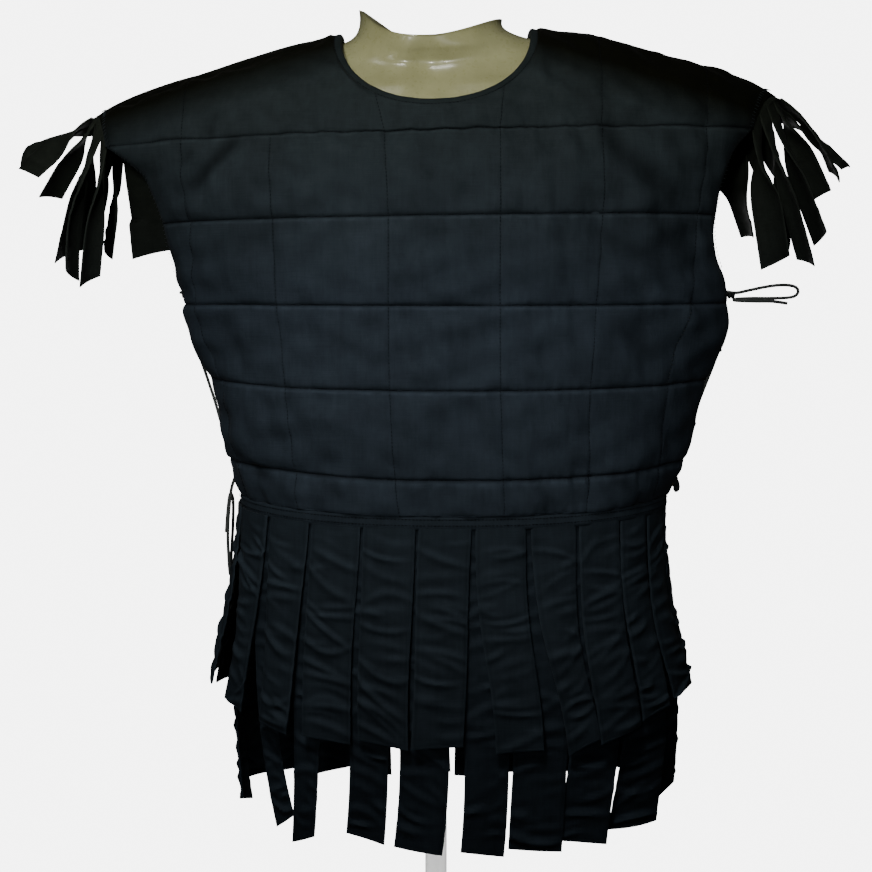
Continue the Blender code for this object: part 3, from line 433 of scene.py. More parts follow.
THROAT_PASSES = 50
RIM_INSET = 0.07
NECK_CENTRE = -0.0056
NECK_WIDTH = 0.0746
NECK_DEPTH = 0.068
NECK_TOP = 0.9778
NECK_RINGS = 14
NECK_RIM_OUTSET = 0.0018
NECK_STRAIGHTNESS = 3.5
# The neck's cut rises to two unlike points, right and left: how high, and how late
CUT_RIGHT = (0.0369, 3.0)
CUT_LEFT = (0.0267, 1.6)
INNER_RIM = (0.93, 0.93, 1.0)
INNER_RIM_DROP = -0.0015
NECK_FLOOR = 0.966
FORM_FOOT = (0.010, 0.0, 0.405)
FORM_ROUNDNESS = 0.9
THROAT_SHARE = 0.3
# Soft swellings of the moulded neck and chest: across, height, half width, half height and rise
FORM_SWELLINGS = (
    (-0.031, 0.960, 0.012, 0.034, 0.0040),
    (0.034, 0.955, 0.018, 0.030, 0.0026),
    (0.009, 0.9535, 0.010, 0.009, 0.0020),
    (-0.007, 0.938, 0.009, 0.032, -0.0034),
    (-0.060, 0.926, 0.034, 0.008, 0.0024),
    (0.058, 0.928, 0.034, 0.008, 0.0024),
)

ROLL_FROM = 0.797
SHOULDER_LINE = (
    ("across", "height"),
    (0.1035, 0.9895),
    (0.147, 0.983),
    (0.200, 0.969),
    (0.240, 0.957),
    (0.275, 0.948),
    (0.315, 0.935),
    (0.357, 0.917),
)


def shoulder_height(across):
    """Height of the shoulder seam, level between the neck's corners."""
    return along(SHOULDER_LINE, "height", np.abs(across))


def roll_angle(across, height):
    """How far the cloth has rolled over towards the shoulder seam, as an angle."""
    share = (height - ROLL_FROM) / (shoulder_height(across) - ROLL_FROM)
    return np.arcsin(np.clip(share, 0.0, 1.0))


SHARP_ANGLE = 50


def unit(vectors):
    """Each vector of a grid, made one long."""
    return vectors / np.maximum(np.linalg.norm(vectors, axis=-1, keepdims=True), 1e-9)


def finish_mesh(name, points, faces, material, node, line=None):
    """A large piece that takes a solid's place, with sharp edges kept and its painted shade and light in
    a line attribute.
    """
    piece = add_piece(name, points, faces, material, node)
    if line is not None:
        attribute = piece.data.attributes.new("line", "FLOAT", "POINT")
        attribute.data.foreach_set("value", np.asarray(line, float).ravel())
    piece.data.validate()
    piece.data.set_sharp_from_angle(angle=math.radians(SHARP_ANGLE))
    return piece


def form_depth(across, height, side):
    """Depth of the form at places: its own section, kept clear inside the garment's shoulders."""
    half = along(FORM_SECTIONS, "half_width", height)
    share = np.clip(np.abs(across - along(FORM_SECTIONS, "centre", height)) / half, 0, 1)
    own = along(FORM_SECTIONS, "front" if side < 0 else "back", height)
    section = own * (1 - share ** FORM_SQUARENESS) ** (1 / FORM_SQUARENESS)
    high = height + FORM_DROP
    centre, body_half = body_width(high)
    turn = np.arcsin(power(np.clip((across - centre) / body_half, -1, 1), SQUARENESS / 2))
    cloth = CLOTH_DEPTHS[side] * np.cos(turn) ** (2 / SQUARENESS) * np.cos(roll_angle(across, high))
    section = np.where(height > ROLL_FROM, np.minimum(section, cloth * FORM_CLEAR), section)
    flare = 1 - ease((height - NECK_FLARE_FROM) / NECK_FLARE_SPAN)
    inside = np.clip(1 - (across / (NECK_HALF + NECK_FLARE * flare)) ** 2, 0, 1)
    neck = NECK_DEPTH * np.sqrt(inside) * ease((height - NECK_FROM) / NECK_BLEND)
    return np.where(height < NECK_FROM, section, np.maximum(section, neck))


def make_form():
    """The form's skin in rings from its closed foot to the neck's cut top, smoothed at the throat."""
    turns = np.linspace(0, 2 * math.pi, FORM_SPOKES, endpoint=False)
    side = np.where(np.cos(turns) >= 0, -1, 1)
    rows = np.array([row[0] for row in FORM_SECTIONS[1:]])
    count = (len(rows) - 1) * RINGS_A_SECTION + 1
    rings = []
    for height in np.interp(np.arange(count) / RINGS_A_SECTION, np.arange(len(rows)), rows):
        half = along(FORM_SECTIONS, "half_width", height)
        centre = along(FORM_SECTIONS, "centre", height)
        across = centre + half * power(np.sin(turns), FORM_ROUNDNESS)
        offset = (across - centre) / half
        level = height - along(FORM_SECTIONS, "dip", height) * (1 - offset ** 2)
        depth = np.where(side < 0, form_depth(across, level, -1), form_depth(across, level, 1))
        depth = np.where(np.abs(np.cos(turns)) < 1e-6, 0.0, depth)
        rings.append(tilted(np.stack([across, side * depth, level], axis=1)))
    share = np.sin(turns)
    right_cut, left_cut = (rise * np.abs(share) ** late for rise, late in (CUT_RIGHT, CUT_LEFT))
    cut = np.where(share < 0, right_cut, left_cut)
    rim = np.stack([NECK_CENTRE + NECK_WIDTH * share, -(NECK_DEPTH + NECK_RIM_OUTSET) * np.cos(turns),
                    NECK_TOP + cut], axis=1)
    last = rings[-1]
    for step in range(1, NECK_RINGS + 1):
        part = step / NECK_RINGS
        ring = last + (rim - last) * (1 - (1 - part) ** NECK_STRAIGHTNESS)
        ring[:, 2] = last[:, 2] + (rim[:, 2] - last[:, 2]) * part
        rings.append(ring)
    grid = np.array(rings)
    loose = ease((grid[:, :, 2] - THROAT_FROM) / THROAT_SPAN)[..., None]
    loose[-1:] = 0.0
    for _ in range(THROAT_PASSES):
        around = (np.roll(grid, 1, axis=1) + np.roll(grid, -1, axis=1)) / 2
        beside = np.concatenate([grid[:1], (grid[:-2] + grid[2:]) / 2, grid[-1:]])
        grid = grid + (THROAT_SHARE * (around - grid) + THROAT_SHARE * (beside - grid)) * loose
    round_way = np.roll(grid, -1, axis=1) - np.roll(grid, 1, axis=1)
    ways = unit(np.cross(round_way, np.gradient(grid, axis=0)))
    for across, height, width, reach, rise in FORM_SWELLINGS:
        distance = ((grid[..., 0] - across) / width) ** 2 + ((grid[..., 2] - height) / reach) ** 2
        swell = rise * np.exp(-distance) * (grid[..., 1] < 0)
        grid = grid + ways * swell[..., None] * loose
    size = FORM_SPOKES
    inner_rim = grid[-1] * INNER_RIM + (NECK_CENTRE * RIM_INSET, 0.0, INNER_RIM_DROP)
    ends = [FORM_FOOT, (NECK_CENTRE, 0.0, NECK_FLOOR)]
    points = np.concatenate([grid.reshape(-1, 3), inner_rim, ends])
    count = len(grid) + 1
    faces = ring_faces(count, size).tolist()
    foot = count * size
    for spoke in range(size):
        after = (spoke + 1) % size
        faces.append((after, spoke, foot))
        faces.append(((count - 1) * size + spoke, (count - 1) * size + after, foot + 1))
    finish_mesh("torso_form_skin", points, faces, cream, "torso_form")


cream, cream_shader, maker, place = start_material("cream_gloss", {
    "IOR": 1.48, "Coat Roughness": 0.10, "Coat Weight": 0.35})
clouds = maker.noise(place, 26.0, 4.0, 0.6)
specks = maker.noise(place, 240.0)
age = (1.7 * clouds + 0.25 * specks - 0.50).clipped()
feed(maker, cream_shader, Base_Color=age.mix((0.50, 0.50, 0.26, 1.0), (0.33, 0.32, 0.15, 1.0)))
feed(maker, cream_shader, Roughness=0.22 + 0.14 * specks)
orange_peel = maker.node("ShaderNodeBump", None, {
    "Strength": 0.10, "Distance": 0.0006, "Height": maker.noise(place, 110.0)})
feed(maker, cream_shader, Normal=orange_peel)
make_form()


# The stand: a slim steel pole and a round base plate, both painted white.
white_paint, paint_shader, maker, place = start_material("white_paint", {"Metallic": 0.0})
flow = maker.noise(place, 220.0)
feed(maker, paint_shader, Base_Color=(0.95 + 0.05 * flow).scaled((0.86, 0.86, 0.85)))
feed(maker, paint_shader, Roughness=0.30 + 0.12 * flow)
for node in ("stand_pole", "stand_base"):
    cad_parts[node].material_slots[0].material = white_paint


# Front and back panels: two layers of dark navy cotton twill with a thin layer of padding, quilted by
# machine in a grid of straight lines. Both are sewn together along the shoulders and open at the sides.
WALL = 0.005
LINING_STEP = 4
QUILT_RISE = 0.0048
QUILT_ROWS = (
    ("row", "height", "sag", "fullness", "line_0", "line_1", "line_2", "line_3", "line_4", "line_5"),
    (0, 0.512, 0.009, 0.55, -0.196, -0.138, -0.036, 0.067, 0.149, 0.222),
    (1, 0.551, 0.012, 1.0, -0.201, -0.141, -0.040, 0.066, 0.151, 0.226),
    (2, 0.634, 0.007, 1.0, -0.219, -0.148, -0.045, 0.063, 0.151, 0.230),
    (3, 0.712, 0.002, 1.0, -0.240, -0.155, -0.046, 0.062, 0.156, 0.253),
    (4, 0.797, 0.000, 1.0, -0.246, -0.159, -0.046, 0.062, 0.163, 0.262),
    (5, 0.880, 0.000, 0.9, -0.250, -0.161, -0.050, 0.062, 0.161, 0.270),
)
CELL_COLUMNS = (2, 3, 6, 4, 6, 3, 2)
SEAM_ACROSS = (-0.357, -0.3035, -0.250, -0.2217, -0.1933, -0.165, -0.13425, -0.1035)
SEAM_ACROSS_LEFT = (0.1035, 0.13475, 0.166, 0.2027, 0.2393, 0.276, 0.3165, 0.357)
NECK_TURNS = (("column", "turn"), (7, 0), (8, 3), (9, 15), (10, 35), (11, 57), (12, 76), (13, 93),
              (14, 110), (15, 128), (16, 149), (17, 167), (18, 177.3), (19, 180))
NECK_HALF_WIDTH = 0.1035
NECK_DROPS = {-1: 0.0855, 1: 0.034}
NECK_CURVE = 1 / 1.1
CELL_HEIGHTS = (0.038, 0.083, 0.079, 0.085, 0.084, 0.150)
ROWS_A_CELL = (18, 40, 38, 40, 40)
TOP_ROWS = 84
COLUMN_STEPS = 9
LINE_CROWDING = 1.7
ROW_CROWDING = 0.115
LINE_COLUMNS = (0, 2, 5, 11, 15, 21, 24, 26)
# How plain each vertical line shows above the topmost row, from the wearer's right edge to the left
LINES_AT_TOP = (1.0, 0.8, 0.0, 0.4, 1.0, 1.0, 0.8, 1.0)
# Soft creases pressed into the front, seen from the front: from one point to another, in metres
FRONT_CREASES = (
    ("from_across", "from_height", "to_across", "to_height", "width", "rise"),
    (-0.192, 0.876, -0.243, 0.820, 0.0065, -0.0034),
    (-0.180, 0.866, -0.226, 0.812, 0.0085, 0.0020),
    (-0.216, 0.902, -0.224, 0.872, 0.0050, -0.0016),
    (-0.238, 0.862, -0.252, 0.846, 0.0045, -0.0014),
    (-0.150, 0.785, -0.225, 0.770, 0.0120, -0.0012),
    (0.160, 0.876, 0.236, 0.812, 0.0100, -0.0026),
    (0.190, 0.880, 0.252, 0.828, 0.0080, 0.0016),
    (0.152, 0.784, 0.214, 0.752, 0.0090, -0.0022),
    (0.222, 0.790, 0.262, 0.742, 0.0100, -0.0020),
    (0.205, 0.725, 0.258, 0.700, 0.0090, 0.0018),
    (0.168, 0.700, 0.222, 0.655, 0.0110, -0.0018),
    (0.130, 0.930, 0.170, 0.880, 0.0110, -0.0014),
    (-0.208, 0.560, -0.168, 0.536, 0.0060, -0.0022),
    (-0.186, 0.548, -0.150, 0.520, 0.0065, -0.0018),
    (-0.120, 0.548, -0.092, 0.514, 0.0060, -0.0014),
    (0.090, 0.545, 0.120, 0.512, 0.0070, -0.0014),
    (0.170, 0.550, 0.198, 0.520, 0.0060, -0.0018),
    (-0.228, 0.690, -0.180, 0.660, 0.0100, -0.0014),
)
BACK_CREASES = (
    ("from_across", "from_height", "to_across", "to_height", "width", "rise"),
    (-0.188, 0.874, -0.240, 0.822, 0.0080, -0.0026),
    (0.172, 0.878, 0.238, 0.816, 0.0090, -0.0028),
    (0.150, 0.780, 0.216, 0.760, 0.0100, -0.0018),
    (-0.212, 0.786, -0.160, 0.758, 0.0100, -0.0016),
    (-0.198, 0.556, -0.160, 0.524, 0.0065, -0.0018),
    (0.176, 0.552, 0.206, 0.520, 0.0060, -0.0018),
    (-0.060, 0.548, -0.030, 0.512, 0.0070, -0.0012),
    (0.090, 0.660, 0.130, 0.690, 0.0120, -0.0012),
)


# How the padding sinks beside a line: the share that it sinks, over what width, and how sharply
ROW_SINKS = ((0.54, 0.0021, 1.3), (0.40, 0.015, 1.3))
LINE_SINKS = ((0.11, 0.0018, 1.4), (0.10, 0.010, 1.3))
SIDE_SINK = (0.010, 1.3)
# The flatter right shoulder: where it begins across and in the top cell, and over what span
LOW_SHOULDER_ACROSS = (0.085, 0.06)
LOW_SHOULDER_PLACE = (5.45, 0.25)
LOW_SHOULDER_SHARE = 0.85
LOW_SHOULDER_DROP = 0.0012
# Waves in the cloth: how they are drawn out on each axis, their length, seed and rise
ROW_PUCKER = ((1.0, 1.0, 0.22), 0.0095, 11, 0.00075)
LINE_PUCKER = ((0.22, 0.22, 1.0), 0.011, 21, 0.00040)
ROW_PUCKER_SPAN = 0.010
LINE_PUCKER_SPAN = 0.007
SOFT_WAVES = (((1.0, 1.0, 1.0), 0.085, 31, 0.0024), ((1.0, 1.0, 1.0), 0.034, 41, 0.0015),
              ((1.0, 1.0, 0.35), 0.020, 51, 0.00040))
# The waves fade out towards the side edges and the shoulder seam
WAVE_EDGE = (0.012, 1.3)
WAVE_TOP = (5.7, 0.3)
# Painted shade in the lines, a painted highlight on the lip under each row of stitches, and the share of
# a crease that is painted as shade, its ridges as painted light
ROW_SHADOW = (0.8, 0.0010)
LINE_SHADOW = (0.18, 0.0008)
PAINTED_LIP_LIGHT = (0.40, 0.0030, 0.0013)
LIP_WAVE = ((1.0, 1.0, 1.0), 0.012, 61, 0.5)
LIP_INSET = 0.004
DARK_CREASE = 0.0034
DARK_CREASE_RANGE = (-0.4, 1.0)
DARK_CREASE_SHARE = 0.85


def near(distance, width, sharpness=2):
    """1 on a line, and falling off to 0 beyond a width from it."""
    return np.exp(-(distance / width) ** sharpness)


# A ripple is made of this many sine waves, each of its own length, and brought to about 1
RIPPLE_WAVES = 9
RIPPLE_LENGTHS = (0.7, 1.5)
RIPPLE_PHASES = (0, 6.28)
RIPPLE_LEVEL = 3.2
# A pressed crease fades out over this share of its length at each end, and this much before it
CREASE_FADE = 0.35
CREASE_FADE_FROM = 0.3


def ripple(points, wavelength, seed):
    """A smooth irregular wave between about -1 and 1, for small unevenness of the cloth."""
    dice = np.random.default_rng(seed)
    total = np.zeros(points.shape[:-1])
    for _ in range(RIPPLE_WAVES):
        way = dice.normal(size=3)
        way /= np.linalg.norm(way)
        length = wavelength * dice.uniform(*RIPPLE_LENGTHS)
        total += np.sin(points @ way * (2 * math.pi / length) + dice.uniform(*RIPPLE_PHASES))
    return total / RIPPLE_LEVEL


def wave(points, side, stretch, wavelength, seed, rise):
    """A ripple of a given rise, unlike on the two panels."""
    return ripple(points * stretch, wavelength, seed + side) * rise


def panel_grid(side):
    """The quilting-line surface of one panel, with each point's row and column on the quilting."""
    depth = FRONT_DEPTH if side < 0 else BACK_DEPTH
    edges = [("" if side < 0 else "back_") + name for name in ("left_depth", "right_depth")]
    column = [0.0]
    for unit_column in range(26):
        step = np.arange(1, COLUMN_STEPS + 1) / COLUMN_STEPS
        if unit_column in LINE_COLUMNS:
            step = step ** LINE_CROWDING
        elif unit_column + 1 in LINE_COLUMNS:
            step = 1 - (1 - step) ** LINE_CROWDING
        column += list(unit_column + step)
    column = np.array(column)
    cell = np.interp(column, np.concatenate([[0], np.cumsum(CELL_COLUMNS)]), np.arange(8))
    # Rows of points stand closer together near the quilting's rows, from the hem up to row 5
    places = [5.0]
    for low, steps in reversed(list(enumerate(ROWS_A_CELL))):
        step = np.arange(steps) / steps
        places = list(low + step - ROW_CROWDING * np.sin(2 * math.pi * step)) + places
    rows = []
    for place_now in places:
        height = along(QUILT_ROWS, "height", place_now)
        centre, half = body_width(height)
        ends = [along(BODY_SECTIONS, edge, height) / depth for edge in edges]
        ends = [math.acos(end ** (SQUARENESS / 2)) for end in ends]
        shares = [(along(QUILT_ROWS, "line_%d" % line, place_now) - centre) / half for line in range(6)]
        lines = [-ends[0], *(math.asin(power(share, SQUARENESS / 2)) for share in shares), ends[1]]
        turn = np.interp(cell, np.arange(8), lines)
        across = centre + half * power(np.sin(turn), 2 / SQUARENESS)
        low = height - along(QUILT_ROWS, "sag", place_now) * np.cos(turn) ** 2
        out = depth * np.cos(turn) ** (2 / SQUARENESS) * np.cos(roll_angle(across, low))
        rows.append(np.stack([across, side * out, low], axis=-1))
    neck = (column >= 7) & (column <= 19)
    angle = np.radians(along(NECK_TURNS, "turn", column))
    end_across = np.where(column < 7, np.interp(column, np.arange(8), SEAM_ACROSS),
                          np.interp(column, np.arange(19, 27), SEAM_ACROSS_LEFT))
    end_across = np.where(neck, -NECK_HALF_WIDTH * power(np.cos(angle), NECK_CURVE), end_across)
    neck_height = shoulder_height(0.0) - NECK_DROPS[side] * np.abs(np.sin(angle)) ** NECK_CURVE
    end_height = np.where(neck, neck_height, shoulder_height(end_across))
    start = rows[-1]
    first_roll = roll_angle(start[:, 0], start[:, 2])
    end_roll = roll_angle(end_across, end_height)
    for step in range(1, TOP_ROWS + 1):
        share = (step / TOP_ROWS) ** 1.25
        roll = first_roll + (end_roll - first_roll) * share
        across = start[:, 0] + (end_across - start[:, 0]) * share
        height = ROLL_FROM + (shoulder_height(across) - ROLL_FROM) * np.sin(roll)
        out = np.maximum(depth * np.cos(turn) ** (2 / SQUARENESS) * np.cos(roll), 0.0002)
        rows.append(np.stack([across, side * out, height], axis=-1))
        places.append(5 + share)
    return tilted(np.array(rows)), np.array(places), cell


def grid_normals(grid, side):
    """Outward direction at each point of a panel's grid."""
    normals = unit(np.cross(np.gradient(grid, axis=1), np.gradient(grid, axis=0)) * -side)
    seam = np.abs(grid[-1, :, 1]) < 0.0004
    normals[-1, seam, 1] = 0.0
    normals[-1] = unit(normals[-1])
    return normals


def crease_rise(grid, table):
    """How far a table's creases move each point in or out."""
    total = np.zeros(grid.shape[:2])
    for row in table[1:]:
        start = np.array(row[0:2])
        way = np.array(row[2:4]) - start
        length = np.linalg.norm(way)
        offset = grid[:, :, [0, 2]] - start
        part = offset @ way / length ** 2
        aside = (offset[..., 0] * way[1] - offset[..., 1] * way[0]) / length
        ends = ease(part / CREASE_FADE + CREASE_FADE_FROM)
        ends = ends * ease((1 - part) / CREASE_FADE + CREASE_FADE_FROM)
        total += row[5] * ends * near(aside, row[4])
    return total


def quilting(grid, places, cell, side):
    """How far the padding stands out of the quilting lines, and the painted shade and light at each
    point.
    """
    row = np.minimum(places.astype(int), 5)
    part = np.where(places >= 6, 1.0, places - row)
    cell_height = np.array(CELL_HEIGHTS)[row]
    from_row = (np.minimum(part, 1 - part) * cell_height)[:, None]
    lines = grid[:, [int(sum(CELL_COLUMNS[:index])) * COLUMN_STEPS for index in range(8)]]
    widths = np.linalg.norm(np.diff(lines, axis=1), axis=2)
    index = np.minimum(cell.astype(int), 6)
    cell_part = cell - index
    from_line = np.minimum(cell_part, 1 - cell_part)[None, :] * widths[:, index]
    from_side = np.minimum(cell[None, :] * widths[:, :1], (7 - cell)[None, :] * widths[:, -1:])
    fullness = along(QUILT_ROWS, "fullness", np.minimum(places, 5))[:, None]
    nearest = np.minimum((cell + 0.5).astype(int), 7)
    shown = np.where(places[:, None] > 5, np.array(LINES_AT_TOP)[nearest][None, :], 1.0)
    # The padding sinks at the lines and the side edges, and lies flatter on the wearer's right shoulder
    sunk_row = sum(share * near(from_row, *sink) for share, *sink in ROW_SINKS)
    sunk_line = sum(share * near(from_line, *sink) for share, *sink in LINE_SINKS) * shown
    padding = (1 - sunk_row) * (1 - sunk_line)
    padding = padding * (1 - near(from_side, *SIDE_SINK))
    rise = QUILT_RISE * fullness * padding
    low_shoulder = ease((-grid[..., 0] - LOW_SHOULDER_ACROSS[0]) / LOW_SHOULDER_ACROSS[1])
    low_shoulder = low_shoulder * ease((places - LOW_SHOULDER_PLACE[0]) / LOW_SHOULDER_PLACE[1])[:, None]
    rise = rise * (1 - LOW_SHOULDER_SHARE * low_shoulder * (side < 0))
    rise = rise - LOW_SHOULDER_DROP * low_shoulder * (side < 0)
    # Puckers along the seams, soft unevenness of the padding, and the pressed creases
    pucker = wave(grid, side, *ROW_PUCKER) * np.exp(-from_row / ROW_PUCKER_SPAN)
    beside_line = np.exp(-from_line / LINE_PUCKER_SPAN)
    pucker += wave(grid, side, *LINE_PUCKER) * beside_line * shown
    pucker *= np.minimum(from_row, from_line) > 0.0001
    soft = sum(wave(grid, side, *settings) for settings in SOFT_WAVES)
    inside = (1 - near(from_side, *WAVE_EDGE)) * (1 - ease((places - WAVE_TOP[0]) / WAVE_TOP[1]))[:, None]
    rise = rise + (pucker + soft) * inside
    crease = crease_rise(grid, FRONT_CREASES if side < 0 else BACK_CREASES) * inside
    rise += crease
    rise[places == 6] = 0.0
    # Painted shade in the lines and in the creases, painted light on the creases' ridges, and a painted
    # highlight on the lip under each row of stitches
    shadow = ROW_SHADOW[0] * near(from_row, ROW_SHADOW[1])
    shadow = shadow * (places > 0.1)[:, None] * (places < 5.9)[:, None]
    shadow = np.maximum(shadow, LINE_SHADOW[0] * shown * near(from_line, LINE_SHADOW[1]))
    painted_lip_light = near(((1 - part) * cell_height)[:, None] - PAINTED_LIP_LIGHT[1], PAINTED_LIP_LIGHT[2]) * (places < 5)[:, None]
    shadow = shadow - PAINTED_LIP_LIGHT[0] * painted_lip_light * (1 + wave(grid, side, *LIP_WAVE)) * (from_side > LIP_INSET)
    return rise, shadow + np.clip(-crease / DARK_CREASE, *DARK_CREASE_RANGE) * DARK_CREASE_SHARE


def grid_faces(rows, columns, first=0, flip=False):
    """Quads between the points of a grid."""
    corner = (np.arange(rows - 1)[:, None] * columns + np.arange(columns - 1)[None, :]).ravel() + first
    quads = np.stack([corner, corner + 1, corner + columns + 1, corner + columns], axis=1)
    return quads[:, ::-1] if flip else quads


def border(rows, columns):
    """Indices once round the outside of a grid."""
    index = np.arange(rows * columns).reshape(rows, columns)
    return np.concatenate([index[0], index[1:, -1], index[-1, -2::-1], index[-2:0:-1, 0]])


# The darker, browner colour painted on the shoulder tops as shade
TOP_SHADE_TINT = (0.0034, 0.0038, 0.0013, 1.0)
# Painted shade, with a browner tint, where the cloth turns up over the shoulder tops: where it begins in
# the middle, how much lower on the shoulders, and how fast it comes on
TOP_FROM = 0.965
TOP_LEAN = 0.30
TOP_SPREAD = 26.0
# Where the less blue chest begins, how fast it comes on, and what it does to the colour
CHEST_FROM = 0.72
CHEST_SPREAD = 5.0
CHEST_TINT = (1.05, 1.02, 0.80)
# Yarns and slubs, in bumps a metre on each axis
WARP = (1500.0, 1500.0, 45.0)
WEFT = (45.0, 45.0, 1500.0)
SLUBS = (260.0, 260.0, 14.0)
# What each of them, and the clouds and blotches of the dye, adds to the brightness
PLAIN_TONE = 0.30
YARN_TONE = 0.34
CLOUD_TONE = 0.62
BLOTCH_TONE = 0.50
FADED_TONES = (0.76, 0.46)
# How strongly the line attribute's painted shade and painted light change the colour
LINE_TONE = 0.62


def cotton_material(name, colour, shade_top=0.0):
    """Dark navy cotton twill: uneven yarns, a soft nap, painted shade and light from the line attribute,
    and painted shade on the tops.
    """
    material, shader, maker, place = start_material(name, {
        "Sheen Weight": 0.015, "Sheen Roughness": 0.4, "Specular IOR Level": 0.07})
    warp = maker.noise(maker.stretched(place, WARP), 1.0, 1.0)
    weft = maker.noise(maker.stretched(place, WEFT), 1.0, 1.0)
    slubs = maker.noise(maker.stretched(place, SLUBS), 1.0)
    clouds = maker.noise(place, 12.0, 4.0, 0.6)
    blotches = maker.noise(place, 48.0, 3.0, 0.6)
    faded = maker.noise(place, 2.6)
    # The line attribute: painted shade where it is above 0, painted light where it is below
    line = maker.node("ShaderNodeAttribute", {"attribute_name": "line"}, None, out="Fac")
    height = maker.node("ShaderNodeSeparateXYZ", None, {0: place}, out="Z")
    across = maker.node("ShaderNodeSeparateXYZ", None, {0: place}, out="X")
    # Painted shade on the upward-facing tops, strongest on the shoulders
    slope = height + TOP_LEAN * across.maths("ABSOLUTE", across) - TOP_FROM
    top = (slope * TOP_SPREAD).clipped() * shade_top
    chest = ((height - CHEST_FROM) * CHEST_SPREAD).clipped()
    chest_colour = [share * tint for share, tint in zip(colour, CHEST_TINT)]
    blue = chest.mix((*colour, 1.0), (*chest_colour, 1.0))
    tone = PLAIN_TONE + YARN_TONE * warp + YARN_TONE * weft + YARN_TONE * slubs
    tone = tone + CLOUD_TONE * clouds + BLOTCH_TONE * (blotches - 0.5)
    tone = tone * (FADED_TONES[0] + FADED_TONES[1] * faded) * (1 - LINE_TONE * line)
    feed(maker, shader, Base_Color=tone.scaled(top.mix(blue, TOP_SHADE_TINT)))
    feed(maker, shader, Roughness=(0.72 + 0.22 * warp).clipped())
    yarns = 0.5 * warp + 0.5 * weft + 0.9 * slubs
    bump = maker.node("ShaderNodeBump", None, {"Strength": 0.45, "Distance": 0.0006, "Height": yarns})
    feed(maker, shader, Normal=bump)
    return material


panel_cotton = cotton_material("panel_cotton", (0.0190, 0.0262, 0.0344), 1.0)


def make_panel(name, side):
    """A quilted panel: the padding raised outside, a plain lining inside, and a turned edge between."""
    grid, places, cell = panel_grid(side)
    normals = grid_normals(grid, side)
    rise, shadow = quilting(grid, places, cell, side)
    outer = grid + normals * rise[..., None]
    rows, columns = grid.shape[:2]
    turned = border(rows, columns)
    flat = grid.reshape(-1, 3)[turned]
    flat_normals = normals.reshape(-1, 3)[turned]
    rim = [flat - flat_normals * WALL * share for share in (0.5, 1.0)]
    coarse_rows = np.unique(np.concatenate([np.arange(0, rows, LINING_STEP), [rows - 1]]))
    coarse_columns = np.arange(0, columns, LINING_STEP)
    inner = (grid - normals * WALL)[np.ix_(coarse_rows, coarse_columns)]
    points = np.concatenate([outer.reshape(-1, 3), rim[0], rim[1], inner.reshape(-1, 3)])
    count = len(turned)
    first = rows * columns
    after = np.roll(np.arange(count), -1)
    faces = [grid_faces(rows, columns, 0, side > 0)]
    edge = first + np.arange(count)
    for low, high in ((turned, edge), (edge, edge + count)):
        quads = np.stack([low, high, high[after], low[after]], axis=1)
        faces.append(quads[:, ::-1] if side > 0 else quads)
    faces.append(grid_faces(len(coarse_rows), len(coarse_columns), first + 2 * count, side < 0))
    line = np.concatenate([shadow.ravel(), np.zeros(len(points) - shadow.size)])
    piece = finish_mesh(name + "_cloth", points, np.concatenate(faces), panel_cotton, name, line=line)
    return {"grid": grid, "normals": normals, "outer": outer, "places": places}


front = make_panel("front_panel", -1)
back = make_panel("back_panel", 1)


# Machine stitches along the quilting lines: dark cotton thread, a stitch each 3.6 mm, sunk in the lines.
STITCH = 0.0036
STITCH_LENGTH = 0.0027
THREAD_RADIUS = 0.00040
STITCH_SHAPE = (-0.5, -0.3, 0.3, 0.5)


THREAD_TWIST = 2400.0
THREAD_TONES = (0.7, 0.6)
THREAD_ROUGHNESS = 0.3


def thread_material(name, colour, specular, roughness):
    """Twisted cotton sewing thread."""
    material, shader, maker, place = start_material(name, {"Specular IOR Level": specular})
    twist = maker.noise(place, THREAD_TWIST, 1.0)
    tone = THREAD_TONES[0] + THREAD_TONES[1] * twist
    feed(maker, shader, Base_Color=tone.scaled(colour), Roughness=roughness + THREAD_ROUGHNESS * twist)
    return material


def walked_along(path):
    """How far along a path each of its points lies."""
    return np.concatenate([[0], np.cumsum(np.linalg.norm(np.diff(path, axis=0), axis=1))])


def resampled(path, normals, spacing, start=0.0):
    """Evenly spaced points, ways and normals along a path."""
    walked = walked_along(path)
    wanted = np.arange(start, walked[-1], spacing)
    centres = at_lengths(wanted, walked, path)
    ahead = at_lengths(wanted + 0.0004, walked, path)
    return centres, unit(ahead - centres), unit(at_lengths(wanted, walked, normals))


def make_stitches(name, runs, length, radius, lift, material, slot="cotton"):
    """Short rounded stitches, one at each point of the runs, lying along their ways."""
    points = []
    faces = []
    for centres, ways, normals in runs:
        besides = np.cross(ways, normals)
        for centre, way, normal, beside in zip(centres, ways, normals, besides):
            first = len(points)
            middle = centre + normal * lift
            points.append(middle + way * STITCH_SHAPE[0] * length - normal * radius)
            for share in STITCH_SHAPE[1:3]:
                for across, up in ((1, 0), (0, 1), (-1, 0), (0, -1)):
                    outwards = beside * across + normal * up
                    points.append(middle + way * share * length + outwards * radius)
            points.append(middle + way * STITCH_SHAPE[3] * length - normal * radius)
            for corner in range(4):
                here = first + 1 + corner
                beyond = first + 1 + (corner + 1) % 4
                faces.append((first, beyond, here))
                faces.append((here, beyond, beyond + 4, here + 4))
                faces.append((first + 9, here + 4, beyond + 4))
    add_piece(name, points, faces, material)


